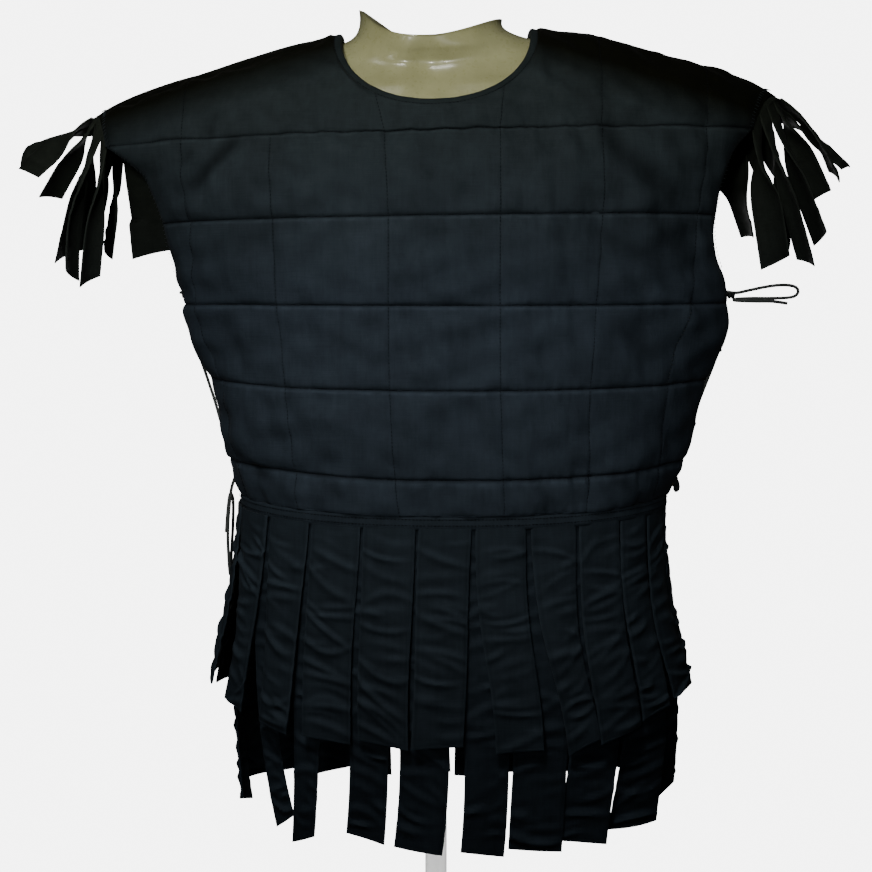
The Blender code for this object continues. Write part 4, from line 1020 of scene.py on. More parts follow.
thread = thread_material("thread", (0.0032, 0.0044, 0.0060), 0.1, 0.55)
for name, panel in (("front_quilting_stitches", front), ("back_quilting_stitches", back)):
    runs = []
    for row in np.cumsum(ROWS_A_CELL):
        runs.append(resampled(panel["outer"][row], panel["normals"][row], STITCH))
    for index, line in enumerate(LINE_COLUMNS[1:-1]):
        rows = slice(0, sum(ROWS_A_CELL) + 1 if LINES_AT_TOP[index + 1] == 0 else None)
        column = line * COLUMN_STEPS
        runs.append(resampled(panel["outer"][rows, column], panel["normals"][rows, column], STITCH))
    make_stitches(name, runs, STITCH_LENGTH, THREAD_RADIUS, 0.0001, thread)


# Whip stitches that hold the turned edge of each armhole: short bars of thread across the hem.
# A torn vertical line on the front is mended with the same thread in short cross stitches.
WHIP_FROM = 3.4
WHIP_INSET = 0.008
WHIP_SPACING = 0.0042
WHIP_SIZES = (0.0052, 0.00038, 0.0002)
MEND_SPACING = 0.0046
MEND_START = 0.003
MEND_SIZES = (0.0044, 0.00036, 0.0002)
whip_thread = thread_material("whip_thread", (0.026, 0.034, 0.036), 0.2, 0.5)
for name, panel in (("front_armhole_stitches", front), ("back_armhole_stitches", back)):
    runs = []
    for edge, inner_column in ((0, 3), (-1, -4)):
        rows = np.arange(int(np.searchsorted(panel["places"], WHIP_FROM)), len(panel["places"]) - 6)
        edge_points = panel["outer"][rows, edge]
        inwards = unit(panel["outer"][rows, inner_column] - edge_points)
        path = edge_points + inwards * WHIP_INSET
        path += panel["normals"][rows, edge] * 0.0012
        centres, ways, normals = resampled(path, panel["normals"][rows, edge], WHIP_SPACING)
        runs.append((centres, unit(np.cross(ways, normals) + ways * 0.25), normals))
    make_stitches(name, runs, *WHIP_SIZES, whip_thread)
rows = slice(sum(ROWS_A_CELL[:2]), sum(ROWS_A_CELL[:3]) + 1)
column = LINE_COLUMNS[6] * COLUMN_STEPS
mended = front["outer"][rows, column]
centres, ways, normals = resampled(mended, front["normals"][rows, column], MEND_SPACING, MEND_START)
ways = unit(np.cross(ways, normals) + ways * 0.2)
make_stitches("front_mended_line", [(centres, ways, normals)], *MEND_SIZES, whip_thread)


# Neck binding: a bias strip of the same cotton folded over the neck's raw edge and stitched down.
trim_cotton = cotton_material("trim_cotton", (0.0152, 0.0212, 0.0270))
NECK_COLUMNS = slice(7 * COLUMN_STEPS, 19 * COLUMN_STEPS + 1)
neck_edge, neck_normals = (
    np.concatenate([front[key][-1, NECK_COLUMNS], back[key][-1, NECK_COLUMNS][-2:0:-1]])
    for key in ("grid", "normals"))
for _ in range(24):
    beside = np.roll(neck_normals, 1, axis=0) + neck_normals * 2 + np.roll(neck_normals, -1, axis=0)
    neck_normals = unit(beside)
neck_way = unit(np.roll(neck_edge, -1, axis=0) - np.roll(neck_edge, 1, axis=0))
neck_inwards = unit(np.cross(neck_normals, neck_way))
facing = np.sum(neck_inwards * (np.array([0.0, 0.0, 1.0]) * neck_edge[:, 2:] - neck_edge), axis=1) < 0
neck_inwards[facing] *= -1
BINDING_SHAPE = (
    (-0.0012, 0.0010), (0.0012, 0.0019), (0.0040, 0.0021), (0.0062, 0.0012), (0.0072, -0.0012),
    (0.0070, -0.0040), (0.0058, -0.0060), (0.0030, -0.0066), (0.0006, -0.0060), (0.0003, -0.0020),
)
rings = []
crimp = ripple(neck_edge, 0.016, 71)[:, None] * 0.0003
for inwards, up in BINDING_SHAPE:
    rings.append(neck_edge + neck_inwards * inwards + neck_normals * (up + crimp * (up > 0)))
faces = ring_faces(len(BINDING_SHAPE), len(neck_edge), closed=True)
finish_mesh("neck_binding_strip", np.concatenate(rings), faces, trim_cotton, "neck_binding")
path = neck_edge + neck_inwards * 0.0002 + neck_normals * 0.0016
runs = [resampled(path, neck_normals, STITCH)]
make_stitches("neck_binding_stitches", runs, STITCH_LENGTH, THREAD_RADIUS, 0.0, thread, "trim")


# Skirt bands: a folded strip of cotton under each panel's hem, with two rows of stitches, that holds
# the tops of both tiers of straps.
BAND_HEIGHT = 0.014
BAND_STITCH_DROPS = (0.0034, 0.0094)
BAND_SHAPE = (
    (-0.0022, 0.0004), (-0.0008, 0.0010), (-0.0004, 0.0030), (-0.0006, 0.0062), (-0.0002, 0.0085),
    (-0.0006, 0.0110), (-0.0010, 0.0140), (-0.0040, 0.0144), (-0.0088, 0.0140), (-0.0090, 0.0070),
    (-0.0088, 0.0006), (-0.0050, 0.0004),
)


def make_band(name, panel):
    """The band under a panel's hem."""
    hem = panel["grid"][0]
    outwards = unit(panel["normals"][0] * (1.0, 1.0, 0.0))
    rings = []
    unevenness = ripple(hem, 0.02, 81)[:, None] * 0.0003
    for out, drop in BAND_SHAPE:
        rings.append(hem + outwards * (out + unevenness) - np.array([0, 0, drop]))
    rings = np.array(rings)
    count, size = rings.shape[:2]
    faces = []
    for ring in range(count):
        low = ring * size + np.arange(size - 1)
        high = (ring + 1) % count * size + np.arange(size - 1)
        faces.append(np.stack([low, high, high + 1, low + 1], axis=1))
    faces = np.concatenate(faces).tolist()
    faces.append([ring * size for ring in range(count)])
    faces.append([ring * size + size - 1 for ring in reversed(range(count))])
    add_piece(name + "_strip", rings.reshape(-1, 3), faces, trim_cotton, name)
    stitches = []
    for drop in BAND_STITCH_DROPS:
        path = hem + outwards * 0.0001 - np.array([0, 0, drop])
        stitches.append(resampled(path, outwards, STITCH))
    make_stitches(name + "_stitches", stitches, STITCH_LENGTH, THREAD_RADIUS, 0.0, thread, "trim")


make_band("front_skirt_band", front)
make_band("back_skirt_band", back)


# Skirt straps: flat tubes of cotton, sewn, turned and pressed, so that each is two layers with a firm
# edge and a stitched foot. They hang from the bands in two tiers and have creased across as they hang.
SKIRT_SECTIONS = (
    ("height", "centre", "half_width", "front", "back"),
    (0.150, 0.0170, 0.236, 0.137, 0.143),
    (0.280, 0.0190, 0.246, 0.138, 0.144),
    (0.400, 0.0152, 0.2336, 0.134, 0.140),
    (0.512, 0.0175, 0.230, 0.132, 0.138),
)
STRAP_WALL = 0.003
UPPER_OUTSET = -0.0022
LOWER_OUTSET = -0.0077
LOWER_TUCK = -0.010
TOP_TUCK = 0.0025
# One row for each strap in its order round the skirt, the front ones from the wearer's right and then
# the back ones. The place is measured along the hem from the front's middle, the twist is in degrees.
UPPER_STRAPS = (
    ("place", "lean", "flare", "twist", "length", "width", "foot", "slant"),
    (-0.2780, 0.000, 0.018, 6, 0.186, 0.050, 1.0, 0.003),
    (-0.2220, 0.000, 0.008, -22, 0.202, 0.050, 0.45, 0.006),
    (-0.1690, -0.004, 0.009, 6, 0.210, 0.046, 0.80, 0.004),
    (-0.1175, -0.004, 0.006, -5, 0.215, 0.051, 0.98, 0.003),
    (-0.0630, -0.003, 0.005, 4, 0.216, 0.052, 0.98, 0.004),
    (-0.0080, -0.007, 0.007, -4, 0.217, 0.052, 1.0, -0.001),
    (0.0470, 0.014, 0.006, 5, 0.222, 0.050, 0.96, -0.002),
    (0.1000, 0.020, 0.006, 9, 0.222, 0.046, 0.70, -0.008),
    (0.1490, 0.009, 0.010, -6, 0.214, 0.045, 1.10, -0.006),
    (0.1910, 0.005, 0.011, 4, 0.200, 0.035, 1.05, -0.005),
    (0.2285, 0.006, 0.015, 8, 0.188, 0.034, 1.12, -0.004),
    (0.2760, 0.006, 0.015, 5, 0.185, 0.052, 1.0, 0.003),
    (0.3340, 0.004, 0.008, -6, 0.204, 0.054, 1.0, 0.002),
    (0.3920, 0.008, 0.006, 5, 0.212, 0.054, 0.9, 0.004),
    (0.4500, 0.004, 0.009, -4, 0.218, 0.054, 1.0, -0.002),
    (0.5070, 0.006, 0.005, 6, 0.220, 0.054, 0.95, 0.003),
    (0.5650, 0.001, 0.008, -5, 0.222, 0.054, 1.0, -0.002),
    (0.6230, -0.005, 0.006, 4, 0.220, 0.054, 1.0, 0.002),
    (0.6810, -0.003, 0.009, -7, 0.218, 0.054, 0.85, -0.003),
    (0.7390, -0.008, 0.006, 5, 0.212, 0.053, 1.0, -0.004),
    (0.7960, -0.006, 0.008, -5, 0.204, 0.053, 0.95, 0.002),
    (0.8575, 0.006, 0.014, 6, 0.204, 0.057, 1.0, -0.003),
)
LOWER_STRAPS = (
    ("place", "lean", "flare", "twist", "length", "width", "foot", "slant"),
    (-0.2600, -0.009, 0.006, 14, 0.324, 0.048, 0.9, -0.008),
    (-0.2020, 0.017, 0.002, -40, 0.320, 0.044, 0.42, -0.006),
    (-0.1440, -0.002, 0.004, 8, 0.332, 0.044, 0.65, -0.006),
    (-0.0865, 0.005, 0.003, -6, 0.322, 0.046, 0.85, 0.006),
    (-0.0290, -0.001, 0.005, 7, 0.331, 0.051, 0.98, 0.003),
    (0.0290, 0.004, 0.004, -8, 0.335, 0.050, 0.9, 0.004),
    (0.0865, -0.003, 0.003, 6, 0.334, 0.051, 1.08, 0.002),
    (0.1440, -0.006, 0.004, 8, 0.332, 0.050, 1.05, 0.004),
    (0.2020, -0.004, 0.006, 24, 0.328, 0.048, 1.15, -0.002),
    (0.2600, -0.004, 0.010, 30, 0.313, 0.046, 1.0, -0.006),
    (0.3170, 0.003, 0.002, -9, 0.312, 0.046, 1.0, 0.004),
    (0.3750, 0.006, 0.004, 7, 0.322, 0.048, 1.0, 0.003),
    (0.4330, -0.002, 0.003, -6, 0.334, 0.049, 0.9, -0.003),
    (0.4900, 0.005, 0.004, 8, 0.338, 0.049, 1.0, 0.003),
    (0.5480, 0.001, 0.003, -5, 0.344, 0.049, 1.0, -0.002),
    (0.6060, -0.005, 0.005, 6, 0.342, 0.049, 1.0, 0.004),
    (0.6630, 0.003, 0.003, -8, 0.339, 0.048, 0.85, -0.004),
    (0.7210, -0.004, 0.004, 7, 0.333, 0.049, 1.0, 0.003),
    (0.7790, -0.002, 0.003, -6, 0.324, 0.048, 1.0, -0.003),
    (0.8360, -0.003, 0.002, 11, 0.316, 0.046, 1.0, -0.004),
)
# How far the feet of some straps bend aside
BENT_FEET = {"lower_strap_front_02": 0.004, "lower_strap_front_03": -0.010,
             "lower_strap_front_04": -0.007, "lower_strap_front_05": -0.006,
             "lower_strap_front_06": -0.005, "lower_strap_front_08": -0.002,
             "upper_strap_front_02": -0.005, "upper_strap_front_09": -0.003}
# The rows and columns of a strap's grid, closer together at its foot and its edges
STRAP_PARTS = np.concatenate([np.linspace(0, 0.965, 106), 1 - 0.035 * (1 - np.arange(1, 10) / 9) ** 1.6])
even_shares = np.linspace(-1, 1, 19)
STRAP_SHARES = 0.175 * even_shares + 0.325 * np.sin(even_shares * math.pi / 2)
EDGE_STITCH = 0.0032
strap_cotton = cotton_material("strap_cotton", (0.0138, 0.0196, 0.0248))
# The lower tier's cotton is a darker copy of the upper straps': painted shade for the lower tier, which
# hangs under the upper one and further in
lower_shaded_cotton = cotton_material("lower_strap_cotton", (0.0120, 0.0172, 0.0222))


def skirt_ring(height, outset):
    """Points round the skirt's section, their turns and their distances from the front's middle."""
    centre = along(SKIRT_SECTIONS, "centre", height)
    half = along(SKIRT_SECTIONS, "half_width", height) + outset
    turn = np.linspace(0, 2 * math.pi, 361)
    depth = np.where(np.cos(turn) > 0, along(SKIRT_SECTIONS, "front", height),
                     along(SKIRT_SECTIONS, "back", height)) + outset
    ring = np.stack([centre + half * power(np.sin(turn), 2 / SQUARENESS),
                     -depth * power(np.cos(turn), 2 / SQUARENESS)], axis=1)
    return walked_along(ring), ring, turn


def on_ring(ring, place):
    """Across, depth and turn on a skirt section at distances from the front's middle."""
    distance, points, turn = ring
    place = np.mod(place, distance[-1])
    return (np.interp(place, distance, points[:, 0]), np.interp(place, distance, points[:, 1]),
            np.interp(place, distance, turn))


def hem_height(turn):
    """Height of a panel's hem, which sags a little in the middle."""
    return QUILT_ROWS[1][1] - QUILT_ROWS[1][2] * np.cos(turn) ** 2


def sheet_normals(grid):
    """The way each point of a strap's grid faces, to one side of it or the other."""
    return unit(np.cross(np.gradient(grid, axis=0), np.gradient(grid, axis=1)))


def strap_sheet(values, bent, outset, tuck):
    """The middle surface of a hanging strap, as a grid from its top to its foot, and its outward ways."""
    place = values["place"]
    waist_ring = skirt_ring(QUILT_ROWS[1][1], outset)
    turn = on_ring(waist_ring, place)[2]
    start = hem_height(turn) - 0.0008 - BAND_HEIGHT + TOP_TUCK
    grid = []
    for part in STRAP_PARTS:
        height = start - (values["length"] + TOP_TUCK) * part
        ring = skirt_ring(height, outset + (values["flare"] + tuck) * part ** 1.5)
        middle = place * ring[0][-1] / waist_ring[0][-1] + values["lean"] * part ** 1.3
        middle += 0.0022 * part * math.sin(place * 90 + part * 5.5) + bent * part ** 5
        here = np.array(on_ring(ring, middle)[:2])
        ahead = np.array(on_ring(ring, middle + 0.001)[:2])
        way = unit(ahead - here)
        normal = np.array([way[1], -way[0]])
        twist = math.radians(values["twist"]) * part ** 2
        width = values["width"] * (1 + (values["foot"] - 1) * ease(part * 1.25))
        x, y, turns = on_ring(ring, middle + STRAP_SHARES * width)
        offset = np.stack([x, y], axis=1) - here
        aside = offset @ way
        rise = offset @ normal
        moved = here + np.outer(aside * math.cos(twist) - rise * math.sin(twist), way)
        moved += np.outer(aside * math.sin(twist) + rise * math.cos(twist), normal)
        drop = (hem_height(turns) - hem_height(on_ring(ring, middle)[2])) * (1 - part)
        z = height + drop - values["slant"] * STRAP_SHARES * 2 * part ** 4
        grid.append(np.column_stack([moved, z]))
    grid = np.array(grid)
    normals = sheet_normals(grid)
    column = len(STRAP_SHARES) // 2
    outwards = np.array([grid[0, column, 0], grid[0, column, 1], 0.0])
    return grid, normals if normals[len(grid) // 3, column] @ outwards > 0 else -normals


# Creases in a strap: the least and the most of each measure, and how much slant and bow spread
CREASE_START = (0.006, 0.016)
CREASE_GAP = (0.005, 0.018)
CREASE_SIZE = (0.0026, 0.0052)
CREASE_RISE = (0.0010, 0.0040)
CREASE_REACH = (0.4, 1.6)
SLANT_SPREAD = 0.24
BOW_SPREAD = 0.10
# How steep a crease is above and below its ridge, and the shallow hollow above it
CREASE_STEEP = 2.2
CREASE_DRAWN = 0.8
HOLLOW_SHARE = 0.35
HOLLOW_PLACE = 1.7
# A strap's slow wave along its length
WAVE_RISE = 0.0016
SMOOTH_TOP = 0.030


def strap_creases(parts, shares, length, width, seed, lean):
    """Soft creases that start at a strap's edges and run slanting across it, unlike the next strap's."""
    dice = np.random.default_rng(seed)
    down = np.asarray(parts)[:, None] * length
    over = np.asarray(shares)[None, :]
    total = np.zeros((len(parts), len(shares)))
    start = dice.uniform(*CREASE_START)
    while start < length - CREASE_GAP[0]:
        slope = dice.normal(lean, SLANT_SPREAD) * width
        bow = dice.normal(0, BOW_SPREAD) * width
        reach = dice.uniform(*CREASE_REACH)
        side = over + 0.5 if dice.random() < 0.5 else 0.5 - over
        fade = 1 - 0.9 * ease((side - reach * 0.4) / (reach * 0.6))
        size = dice.uniform(*CREASE_SIZE)
        rise = dice.uniform(*CREASE_RISE) * (0.60 + 0.40 * start / length)
        distance = (down - start - slope * over - bow * (over * 2) ** 2) / size
        # Steep above the crease and drawn out below it, with a shallow hollow above
        total += rise * fade * np.exp(-distance ** 2 * np.where(distance < 0, CREASE_STEEP, CREASE_DRAWN))
        total -= rise * HOLLOW_SHARE * fade * np.exp(-(distance + HOLLOW_PLACE) ** 2)
        start += dice.uniform(*CREASE_GAP)
    swing = np.sin(down / length * dice.uniform(3, 6) + dice.uniform(0, 6))
    total += WAVE_RISE * swing * (1 - (over * 2) ** 2)
    return total * ease(down / SMOOTH_TOP) * (0.35 + 0.65 * (1 - np.abs(over * 2) ** 3))


# A tube's edge: over what width it rounds off, and its thickness there as a share of the whole
EDGE_ROUNDING = 0.0022
EDGE_SHARE = 0.45
# The stitched groove and the firm ridge outside it: how deep or high, and how wide
GROOVE = (0.00018, 0.0011)
RIDGE = (0.0003, 0.0009)
RIDGE_INSET = 0.0014
# Painted highlight: over what width the foot and the long edges are painted paler
FOOT_PAINTED_LIGHT = 0.0016
SIDE_PAINTED_LIGHT = 0.0008


def cloth_tube(grid, normals, wall, rises):
    """A closed flat tube of cloth about a grid: two layers, firm rounded edges and a stitched groove,
    with painted shade and light for its colour.
    """
    rows, columns = grid.shape[:2]
    width = np.linalg.norm(grid[:, -1] - grid[:, 0], axis=1).mean()
    across = np.linalg.norm(grid[rows // 2] - grid[rows // 2, 0], axis=1)
    aside = np.minimum(across, across[-1] - across)[None, :] * width / across[-1]
    below = np.linalg.norm(grid[:, columns // 2] - grid[-1, columns // 2], axis=1)[:, None]
    edge = np.minimum(aside, below + 0 * aside)
    half = wall / 2 * (EDGE_SHARE + (1 - EDGE_SHARE) * ease(edge / EDGE_ROUNDING))
    groove = near(edge - EDGE_STITCH, GROOVE[1])
    half = half - GROOVE[0] * groove + RIDGE[0] * near(edge - RIDGE_INSET, RIDGE[1])
    # Painted highlight along the foot and the long edges
    paleness = near(below, FOOT_PAINTED_LIGHT) + 0.5 * near(aside, SIDE_PAINTED_LIGHT)
    front_side = grid + normals * (half + rises)[..., None]
    back_side = grid + normals * (rises * 0.8 - half)[..., None]
    ring = np.concatenate([front_side, back_side[:, ::-1]], axis=1)
    size = 2 * columns
    faces = [ring_faces(rows, size)]
    for row in (0, rows - 1):
        left = row * size + np.arange(columns - 1)
        right = row * size + size - 1 - np.arange(columns - 1)
        quads = np.stack([left, right, right - 1, left + 1], axis=1)
        faces.append(quads if row == 0 else quads[:, ::-1])
    # Painted shade and light: darker in the stitched groove, paler along the foot and edges, lighter on
    # each crease's upper flank and darker on its lower
    slope = np.gradient(rises, axis=0) / np.maximum(-np.gradient(below, axis=0), 0.0001)
    groove = groove * 0.25 - paleness * 0.9 - np.clip(slope * 0.8, -0.4, 0.6)
    line = np.concatenate([groove, groove[:, ::-1]], axis=1)
    return ring.reshape(-1, 3), np.concatenate(faces), line


def make_tier(tier, label, table, outset, tuck, material):
    """One tier of straps, side by side round the skirt."""
    rows = table[1:]
    half = len(rows) // 2
    for index, row in enumerate(rows):
        panel = "front" if index < half else "back"
        name = "%s_strap_%s_%02d" % (label, panel, index % half + 1)
        values = dict(zip(table[0], row))
        length = values["length"]
        width = values["width"]
        grid, normals = strap_sheet(values, BENT_FEET.get(name, 0), outset, tuck)
        lean = 0.25 if index < len(rows) / 4 else -0.15
        rises = strap_creases(STRAP_PARTS, STRAP_SHARES, length, width, 100 * tier + index + 5, lean)
        points, faces, line = cloth_tube(grid, normals, STRAP_WALL, rises)
        strap = finish_mesh(name + "_cloth", points, faces, material, name, line=line)
        panel + "_skirt_band"


make_tier(0, "upper", UPPER_STRAPS, UPPER_OUTSET, 0.0, strap_cotton)
make_tier(1, "lower", LOWER_STRAPS, LOWER_OUTSET, LOWER_TUCK, lower_shaded_cotton)


# Shoulder straps: short straps of the same cotton, sewn side by side to a narrow strip under each
# shoulder's rounded edge. They fan outwards over the tip, and hang inside the armhole behind it.
SHOULDER_WALL = 0.0026
SHOULDER_STRIP = 0.006
SHOULDER_GAP = 0.0008
SHOULDER_CUT = 0.0018
WEARERS_RIGHT_STRAPS = (
    ("start", "heading", "start_pitch", "end_pitch", "turn", "length", "width"),
    (0.00, 70, 80, 84, -48, 0.144, 0.025),
    (0.15, 58, 62, 90, -46, 0.156, 0.025),
    (0.27, 112, 70, 73, -2, 0.144, 0.036),
    (0.37, 104, 51, 57, -15, 0.098, 0.026),
    (0.45, 97, 25, 44, 61, 0.094, 0.032),
    (0.55, 99, 12, 22, 44, 0.100, 0.025),
    (0.64, 30, 60, 86, -28, 0.134, 0.038),
    (0.72, 87, 79, 82, 25, 0.109, 0.032),
    (0.803, 180, 58, 74, 7, 0.100, 0.039),
)
WEARERS_LEFT_STRAPS = (
    ("start", "heading", "start_pitch", "end_pitch", "turn", "length", "width"),
    (0.00, 118, 76, 77, -2, 0.146, 0.039),
    (0.15, 94, 70, 73, -16, 0.165, 0.025),
    (0.27, 106, 62, 65, 6, 0.155, 0.033),
    (0.37, 118, 52, 57, -32, 0.120, 0.025),
    (0.45, 88, 32, 70, 10, 0.103, 0.024),
    (0.55, 94, 26, 42, 38, 0.115, 0.025),
    (0.64, 97, 55, 91, 40, 0.154, 0.036),
    (0.72, 81, 60, 91, 25, 0.133, 0.031),
    (0.803, 128, 60, 65, 22, 0.103, 0.038),
)
FOOT_SLANTS = (0.014, -0.010, 0.016, 0.006, -0.014, 0.010, -0.012, 0.012, 0.008)
FAN_ROWS = 44
FAN_COLUMNS = 14
FAN_SHARES = np.linspace(-0.5, 0.5, FAN_COLUMNS + 1)
FAN_RISE = 0.35
ROOT_WIDENING = 1.30
STRAP_WIDENING = 1.12
STRIP_STEPS = 96
STRIP_ENDS = 0.006


def shoulder_half(panel, edge, from_place):
    """The upper armhole's edge on one panel, from its lower end to the shoulder's tip."""
    first = int(np.searchsorted(panel["places"], from_place - 1e-6))
    points = (panel["grid"] - panel["normals"] * WALL / 2)[first:, edge]
    above = np.gradient(panel["grid"][:, edge], axis=0)[first:]
    out = unit(np.cross(above, panel["normals"][first:, edge]))
    neighbour = panel["grid"][first:, edge] - panel["grid"][first:, 1 if edge == 0 else -2]
    out[np.sum(out * neighbour, axis=1) < 0] *= -1
    tip_way = unit(np.array([math.copysign(1, points[-1, 0]), 0, -0.35]))
    for step in range(1, 13):
        blend = ease(step / 12)
        out[-13 + step] = unit(out[-13 + step] * (1 - blend) + tip_way * blend)
    return points, out


def strip_tube(on_edge):
    """The narrow strip along the shoulder's edge that the straps are sewn to."""
    strip = []
    for step in range(STRIP_STEPS + 1):
        point, out = on_edge(min(max(step / STRIP_STEPS, STRIP_ENDS), 1 - STRIP_ENDS))
        strip.append([point + out * SHOULDER_GAP, point + out * (SHOULDER_GAP + SHOULDER_STRIP)])
    strip = np.array(strip)
    over = strip[:, 1] - strip[:, 0]
    normals = unit(np.cross(np.gradient(strip[:, 0], axis=0), over))
    if normals[STRIP_STEPS // 2, 2] < 0:
        normals = -normals
    grid = strip[:, 0][:, None] + over[:, None] * np.linspace(0, 1, 5)[None, :, None]
    flat = np.zeros(grid.shape[:2])
    return cloth_tube(grid, np.repeat(normals[:, None], 5, axis=1), SHOULDER_WALL, flat)


def fan_strap(values, index, side, on_edge, ends):
    """One shoulder strap: it leaves the strip between two ends, bends down and turns about its length."""
    heading = math.radians(values["heading"])
    plan = np.array([side * math.sin(heading), -math.cos(heading), 0.0])
    beside = np.array([plan[1], -plan[0], 0.0]) * -side
    point, out = on_edge(ends[0])
    root_ends = [on_edge(end)[0] for end in ends[1:]]
    root = np.linalg.norm(root_ends[1] - root_ends[0])
    start_way = unit(root_ends[1] - root_ends[0])
    if beside @ start_way < 0:
        beside = -beside
    root *= ROOT_WIDENING
    dice = np.random.default_rng(300 + index + (50 if side > 0 else 0))
    curl = dice.normal(0, 0.10)
    centre = point + out * (SHOULDER_GAP + SHOULDER_STRIP * 0.4)
    grid = []
    for step in range(FAN_ROWS + 1):
        part = step / FAN_ROWS
        angle = math.radians(values["start_pitch"] + (values["end_pitch"] - values["start_pitch"]) * part)
        way = plan * math.cos(angle) + np.array([0, 0, -math.sin(angle)])
        if step:
            centre = centre + way * values["length"] / FAN_ROWS
        blend = ease(part * 1.6)
        spread = unit(start_way * (1 - blend) + beside * blend)
        up = unit(np.cross(spread, way))
        if up[0] * side < 0:
            up = -up
        turn = math.radians(values["turn"]) * ease(part * 1.4) + curl * part ** 2
        spread, up = (spread * math.cos(turn) + up * math.sin(turn),
                      up * math.cos(turn) - spread * math.sin(turn))
        width = root + (values["width"] * STRAP_WIDENING - root) * ease(part * 2)
        cup = (FAN_SHARES * 2) ** 2 * width * 0.10 * ease(part * 2)
        foot = FOOT_SLANTS[index] * side * FAN_SHARES * part ** 5
        row = centre + np.outer(FAN_SHARES * width, spread)
        grid.append(row - np.outer(cup, up) + np.outer(foot, way))
    grid = np.array(grid)
    normals = sheet_normals(grid)
    if normals[FAN_ROWS // 3, FAN_COLUMNS // 2, 2] < 0:
        normals = -normals
    parts = np.arange(FAN_ROWS + 1) / FAN_ROWS
    rises = strap_creases(parts, FAN_SHARES, values["length"], values["width"], 400 + index, 0.1)
    return cloth_tube(grid, normals, SHOULDER_WALL, FAN_RISE * rises)


def make_shoulder_straps(name, edge, table):
    """One shoulder's strip and its row of straps, from the front of the armhole over the tip."""
    halves = []
    for panel, from_place, order in ((front, 5.0, 1), (back, 4 + 2 / 3, -1)):
        points, out = shoulder_half(panel, edge, from_place)
        halves.append((walked_along(points[::order]), points[::order], out[::order]))
    total = halves[0][0][-1] + halves[1][0][-1]
    side = math.copysign(1, halves[0][1][0, 0])

    def on_edge(share):
        """A point and its outward way at a share of the whole edge, with the tip at one half."""
        walked, points, out = halves[0] if share <= 0.5 else halves[1]
        here = (share * 2 if share <= 0.5 else share * 2 - 1) * walked[-1]
        return at_lengths(here, walked, points), unit(at_lengths(here, walked, out))

    tubes = [strip_tube(on_edge)]
    area = total * SHOULDER_STRIP
    half_cut = SHOULDER_CUT / total / 2
    starts = [row[0] for row in table[1:]] + [1.0]
    for index, row in enumerate(table[1:]):
        values = dict(zip(table[0], row))
        start, end = starts[index:index + 2]
        ends = ((start + end) / 2, start + half_cut, end - half_cut)
        tubes.append(fan_strap(values, index, side, on_edge, ends))
        area += values["length"] * values["width"] * STRAP_WIDENING
    points, faces, lines = zip(*tubes)
    first = np.cumsum([0] + [len(tube) for tube in points])
    faces = np.concatenate([tube + start for tube, start in zip(faces, first)])
    fan = finish_mesh(name + "_cloth", np.concatenate(points), faces, shoulder_cotton, name,
                      line=np.concatenate([line.ravel() for line in lines]))


shoulder_cotton = cotton_material("shoulder_cotton", (0.0145, 0.0180, 0.0165))
make_shoulder_straps("shoulder_straps_right", 0, WEARERS_RIGHT_STRAPS)
make_shoulder_straps("shoulder_straps_left", -1, WEARERS_LEFT_STRAPS)


# Eyelets: small brass rings, dulled, pressed through the side edges of both panels for the laces.
brass, brass_shader, maker, place = start_material("dull_brass", {"Metallic": 1.0})
tarnish = maker.noise(place, 700.0, 3.0)
feed(maker, brass_shader, Base_Color=tarnish.mix((0.36, 0.27, 0.13, 1.0), (0.17, 0.13, 0.07, 1.0)))
feed(maker, brass_shader, Roughness=0.28 + 0.35 * tarnish)
EYELET_RADIUS = 0.0044
EYELET_PIPE = 0.0013
EYELET_LIFT = 0.0012
EYELET_STEPS = 20


def make_eyelets(name, side):
    """The eyelets on both panels at one side of the body."""
    up = Vector((0, 0, 1))
    points = []
    faces = []
    for height in EYELET_HEIGHTS:
        for forward in side_depths(side, height):
            centre, normal = side_point(side, forward, height, EYELET_LIFT)
            beside = up.cross(normal).normalized()
            faces.append(ring_faces(EYELET_STEPS, TUBE_SIDES, closed=True)[:, [0, 3, 2, 1]] + len(points))
            for step in range(EYELET_STEPS):
                turn = 2 * math.pi * step / EYELET_STEPS
                out = beside * math.cos(turn) + up * math.sin(turn)
                for bend in range(TUBE_SIDES):
                    tube = 2 * math.pi * bend / TUBE_SIDES
                    points.append(centre + out * (EYELET_RADIUS + EYELET_PIPE * math.cos(tube))
                                  + normal * EYELET_PIPE * 0.6 * math.sin(tube))
    add_piece(name, points, np.concatenate(faces), brass)


make_eyelets("right_side_eyelets", -1)
make_eyelets("left_side_eyelets", 1)


# A plain white floor and a white surround, which only the camera sees, and soft studio light, most of
# it from the front.
SURROUND_GLOW = 6.0
SURROUND_RADIUS = 8.9
SURROUND_RINGS = 9
SURROUND_SIDES = 24


def stage_mesh(name, points, faces):
    """A plain white part of the studio that neither lights the object nor shades it."""
    item = link_object(name, new_mesh(name, points, faces), studio_white)
    item.visible_diffuse = False
    item.visible_glossy = False
    item.visible_transmission = False
    item.visible_shadow = False


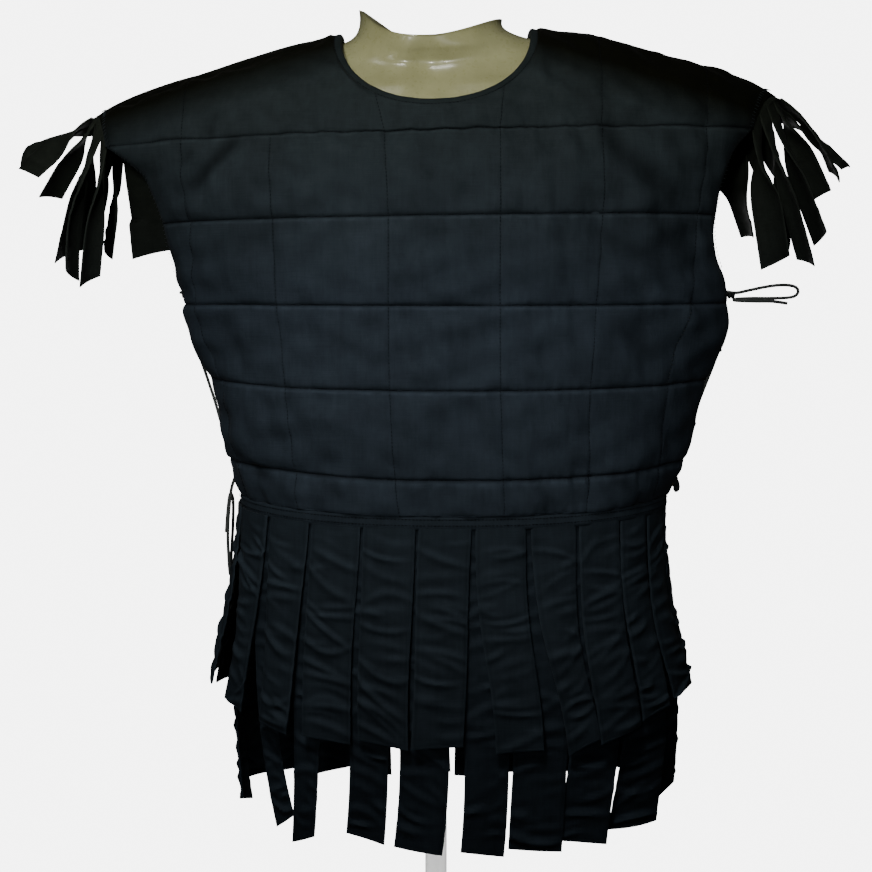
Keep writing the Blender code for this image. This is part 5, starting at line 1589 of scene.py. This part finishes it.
studio_white = start_material("studio_white", {
    "Base Color": (0.0, 0.0, 0.0, 1.0), "Roughness": 1.0, "Specular IOR Level": 0.0,
    "Emission Color": (1.0, 1.0, 1.0, 1.0), "Emission Strength": SURROUND_GLOW})[0]
stage_mesh("floor", [(-9, -9, 0), (9, -9, 0), (9, 9, 0), (-9, 9, 0)], [(0, 1, 2, 3)])
rings = []
for rise in range(SURROUND_RINGS):
    tilt = math.radians(rise * 11.25)
    for turn in range(SURROUND_SIDES):
        heading = math.radians(turn * 15)
        rings.append((SURROUND_RADIUS * math.cos(tilt) * math.cos(heading),
                      SURROUND_RADIUS * math.cos(tilt) * math.sin(heading),
                      SURROUND_RADIUS * math.sin(tilt) - 0.05))
stage_mesh("surround", rings, ring_faces(SURROUND_RINGS, SURROUND_SIDES))

world = bpy.data.worlds.new("studio_air")
world.use_nodes = True
air = world.node_tree.nodes["Background"]
air.inputs["Color"].default_value = (0.92, 0.96, 1.0, 1.0)
air.inputs["Strength"].default_value = 0.012
bpy.context.scene.world = world


def studio_light(name, kind, place, target, watts, colour, **settings):
    """A soft light that faces a point."""
    data = bpy.data.lights.new(name, kind)
    data.energy = watts
    data.color = colour
    for setting, value in settings.items():
        setattr(data, setting, value)
    light = bpy.data.objects.new(name, data)
    light.location = place
    light.rotation_euler = (Vector(target) - Vector(place)).to_track_quat("-Z", "Y").to_euler()
    bpy.context.scene.collection.objects.link(light)


WHITE = (1.0, 1.0, 1.0)
COOL = (0.92, 0.96, 1.0)
STAND_SPOT = {"spot_size": math.radians(5.2), "spot_blend": 0.15, "shadow_soft_size": 0.02}
studio_light("key_light", "SPOT", (-0.28, -2.0, 1.05), (-0.05, 0.0, 0.78), 66.0, (1.0, 0.99, 0.97),
             spot_size=math.radians(36), spot_blend=1.0, shadow_soft_size=0.09)
studio_light("top_light", "AREA", (-0.30, -1.15, 1.80), (0.0, -0.1, 0.45), 6.0, WHITE, size=0.35)
studio_light("skirt_light", "SPOT", (-0.25, -1.25, 1.75), (0.0, -0.05, 0.30), 26.0, (0.96, 0.98, 1.0),
             spot_size=math.radians(26), spot_blend=0.9, shadow_soft_size=0.06)
studio_light("side_light", "AREA", (-1.3, -1.6, 1.2), (0.0, 0.0, 0.80), 1.4, WHITE, size=0.3)
studio_light("low_light", "AREA", (0.3, -1.9, 0.75), (0.0, 0.0, 0.25), 1.2, COOL, size=0.5)
studio_light("back_light", "AREA", (0.0, 2.1, 0.5), (0.0, 0.0, 0.55), 16.0, WHITE, size=1.0)
studio_light("stand_light", "SPOT", (0.0, -1.7, 0.10), (0.0, 0.0, 0.065), 85.0, WHITE, **STAND_SPOT)
for across in (-1.5, 1.5):
    studio_light("stand_side_light", "SPOT", (across, -0.3, 0.10), (0.0, 0.0, 0.065), 45.0, WHITE,
                 **STAND_SPOT)
